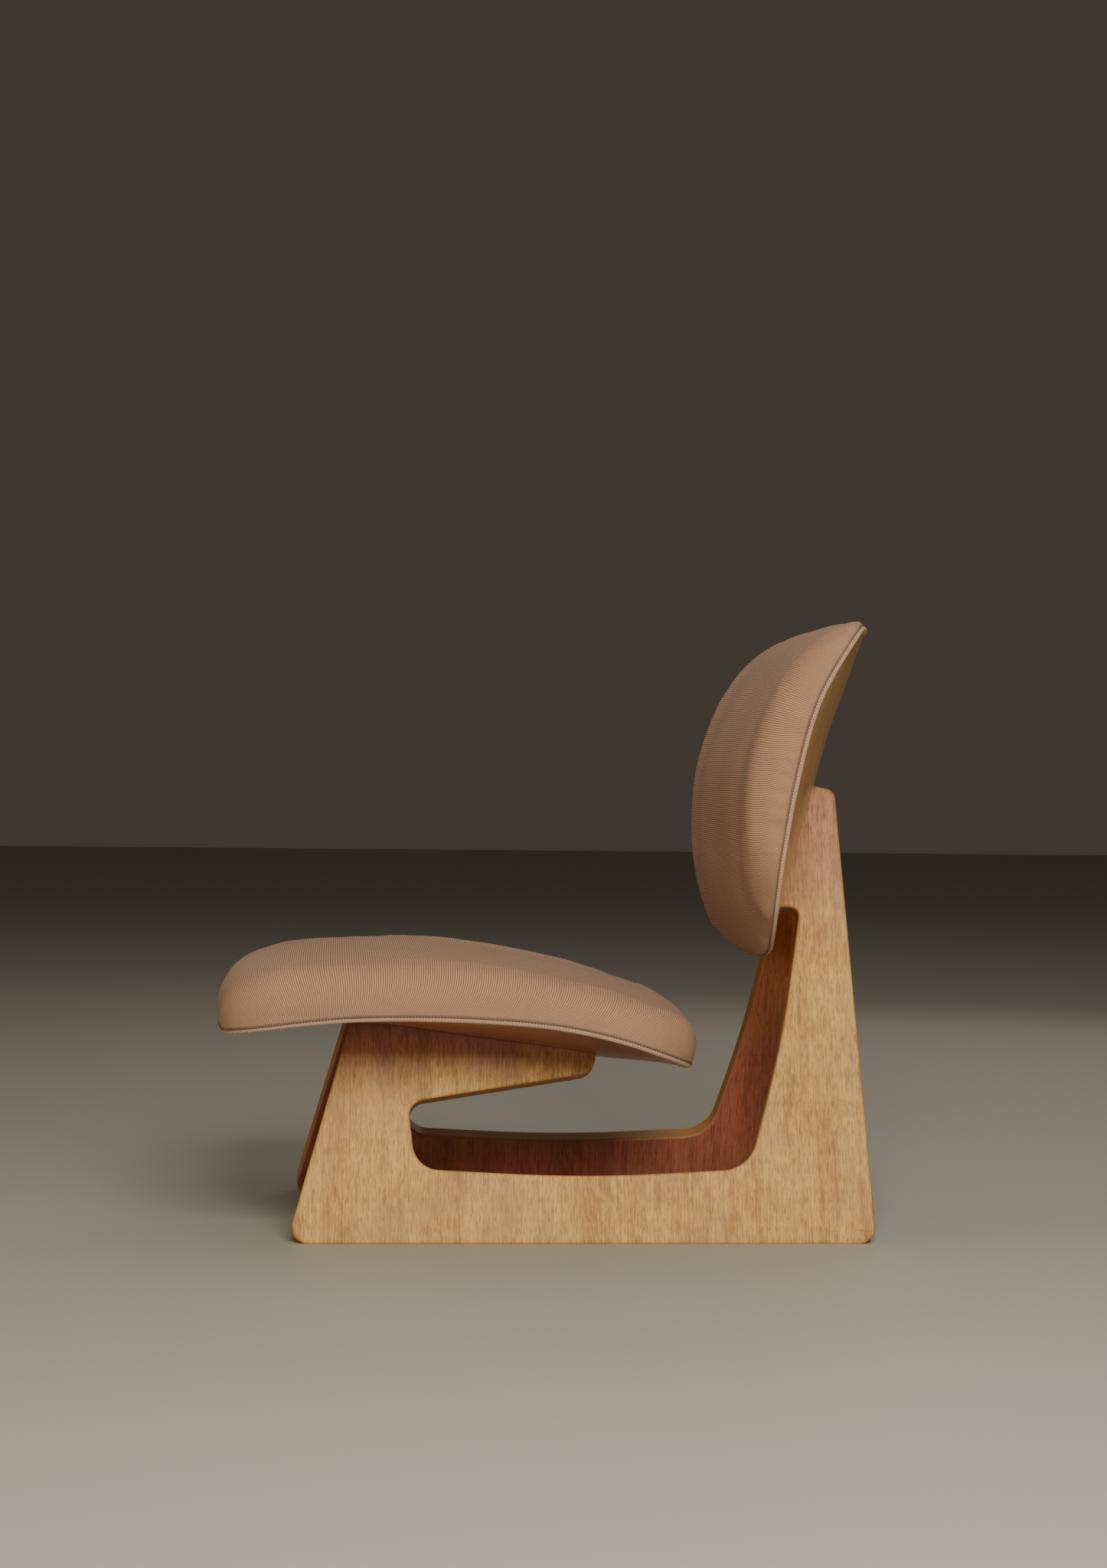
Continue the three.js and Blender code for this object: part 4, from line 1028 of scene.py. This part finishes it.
cord_tree, taken, given, w = new_tree("ribbed_cord", "GeometryNodeTree", [
    ("Path", "Geometry"), ("Rib Pitch", "Float"), ("Cloth", "Material")], [("Cord", "Geometry")])
path = w.node("GeometryNodeResampleCurve", settings={"mode": "LENGTH"}, Length=cord_step,
              Curve=w.node("GeometryNodeMeshToCurve", Mesh=taken["Path"]))
hoop = w.node("GeometryNodeCurvePrimitiveCircle", Resolution=cord_sides, Radius=cord_radius)
path, hoop = (w.node("GeometryNodeStoreNamedAttribute", settings={"data_type": "FLOAT", "domain": "POINT"},
                     Geometry=curve, Name=name, Value=w.node("GeometryNodeSplineParameter", outlet))
              for curve, name, outlet in ((path, "run", "Length"), (hoop, "turn", "Factor")))
tube = w.node("GeometryNodeCurveToMesh", Curve=path, Profile_Curve=hoop)
phase = w.plus(w.calc("DIVIDE", w.named("run"), taken["Rib Pitch"]), w.times(w.named("turn"), cord_ribs))
rib = w.times(w.calc("SINE", w.times(phase, 2 * math.pi)), cord_relief)
raised = w.vector("MULTIPLY", w.node("GeometryNodeInputNormal"), w.point(X=rib, Y=rib, Z=rib))
tube = w.node("GeometryNodeSetPosition", Geometry=tube, Offset=raised)
w.join(w.made_of(tube, taken["Cloth"]), given["Cord"])

stitch_tree, taken, given, w = new_tree("seam_stitches", "GeometryNodeTree", [
    ("Path", "Geometry"), ("Thread", "Material")], [("Stitches", "Geometry")])
path = w.node("GeometryNodeMeshToCurve", Mesh=taken["Path"])
spaced = w.place("GeometryNodeCurveToPoints", {"mode": "LENGTH"}, Curve=path, Length=stitch_pitch).outputs
thread = w.node("GeometryNodeMeshUVSphere", Segments=6, Rings=4, Radius=0.5)
laid = w.node("FunctionNodeAlignRotationToVector", settings={"axis": "X"}, Vector=spaced["Tangent"])
sewn = w.node("GeometryNodeInstanceOnPoints", Points=spaced["Points"], Instance=thread, Rotation=laid,
              Scale=(stitch_length, stitch_width, stitch_width))
w.join(w.made_of(sewn, taken["Thread"]), given["Stitches"])

piping_cloth, w, shader = new_material("piping_fabric")
phase = w.plus(w.calc("DIVIDE", w.read("run"), cord_pitch), w.times(w.read("turn"), cord_ribs))
crest = w.calc("SINE", w.times(phase, 2 * math.pi))
strands = w.noise(w.point(X=w.read("run"), Y=w.times(w.read("turn"), 0.0145)), (1500, 1500, 1), 2.0, 0.6)
rub = w.ramp(w.noise(w.here(), (30, 30, 30), 2.0, 0.5), 0.4, 0.7)
dark = (0.24, 0.12, 0.07)
tone = w.mix(w.ramp(crest, -0.9, 0.7), (0.33, 0.18, 0.115), (0.78, 0.53, 0.38))
tone = w.mix(w.times(w.ramp(strands, 0.4, 0.75), 0.2), w.mix(w.times(rub, 0.12), tone, dark), dark)
w.fill(shader, Base_Color=tone, Roughness=0.85,
       Normal=w.bump(0.5, 0.0003, w.plus(w.times(crest, 0.5), strands)))

seam_thread, w, shader = new_material("seam_thread")
lay = w.ramp(w.noise(w.here(), (3000, 3000, 3000), 1.0, 0.5), 0.3, 0.7)
w.fill(shader, Base_Color=w.mix(lay, (0.10, 0.05, 0.032), (0.19, 0.10, 0.065)), Roughness=0.7)

for key, form in forms.items():
    rows = form.stations(240, 50, 220)
    path, _ = form.at(*moved_in(rows, cord_inset), cord_drop)
    loop = [(k, (k + 1) % len(rows)) for k in range(len(rows))]
    long = np.linalg.norm(path - np.roll(path, -1, axis=0), axis=1).sum()
    whole_pitch = float(long / round(long / cord_pitch))
    cord = grown(f"{key}_piping_cord", cord_tree, path, loop,
                 {"Rib Pitch": whole_pitch, "Cloth": piping_cloth})
    dressed(cord, "piping_fabric", f"{key}_piping")
    seam, _ = form.at(*moved_in(rows, -seam_gap), hem_height - 2 * seam_gap)
    stitches = grown(f"{key}_seam_stitches", stitch_tree, seam, loop, {"Thread": seam_thread})
    dressed(stitches, "piping_fabric")
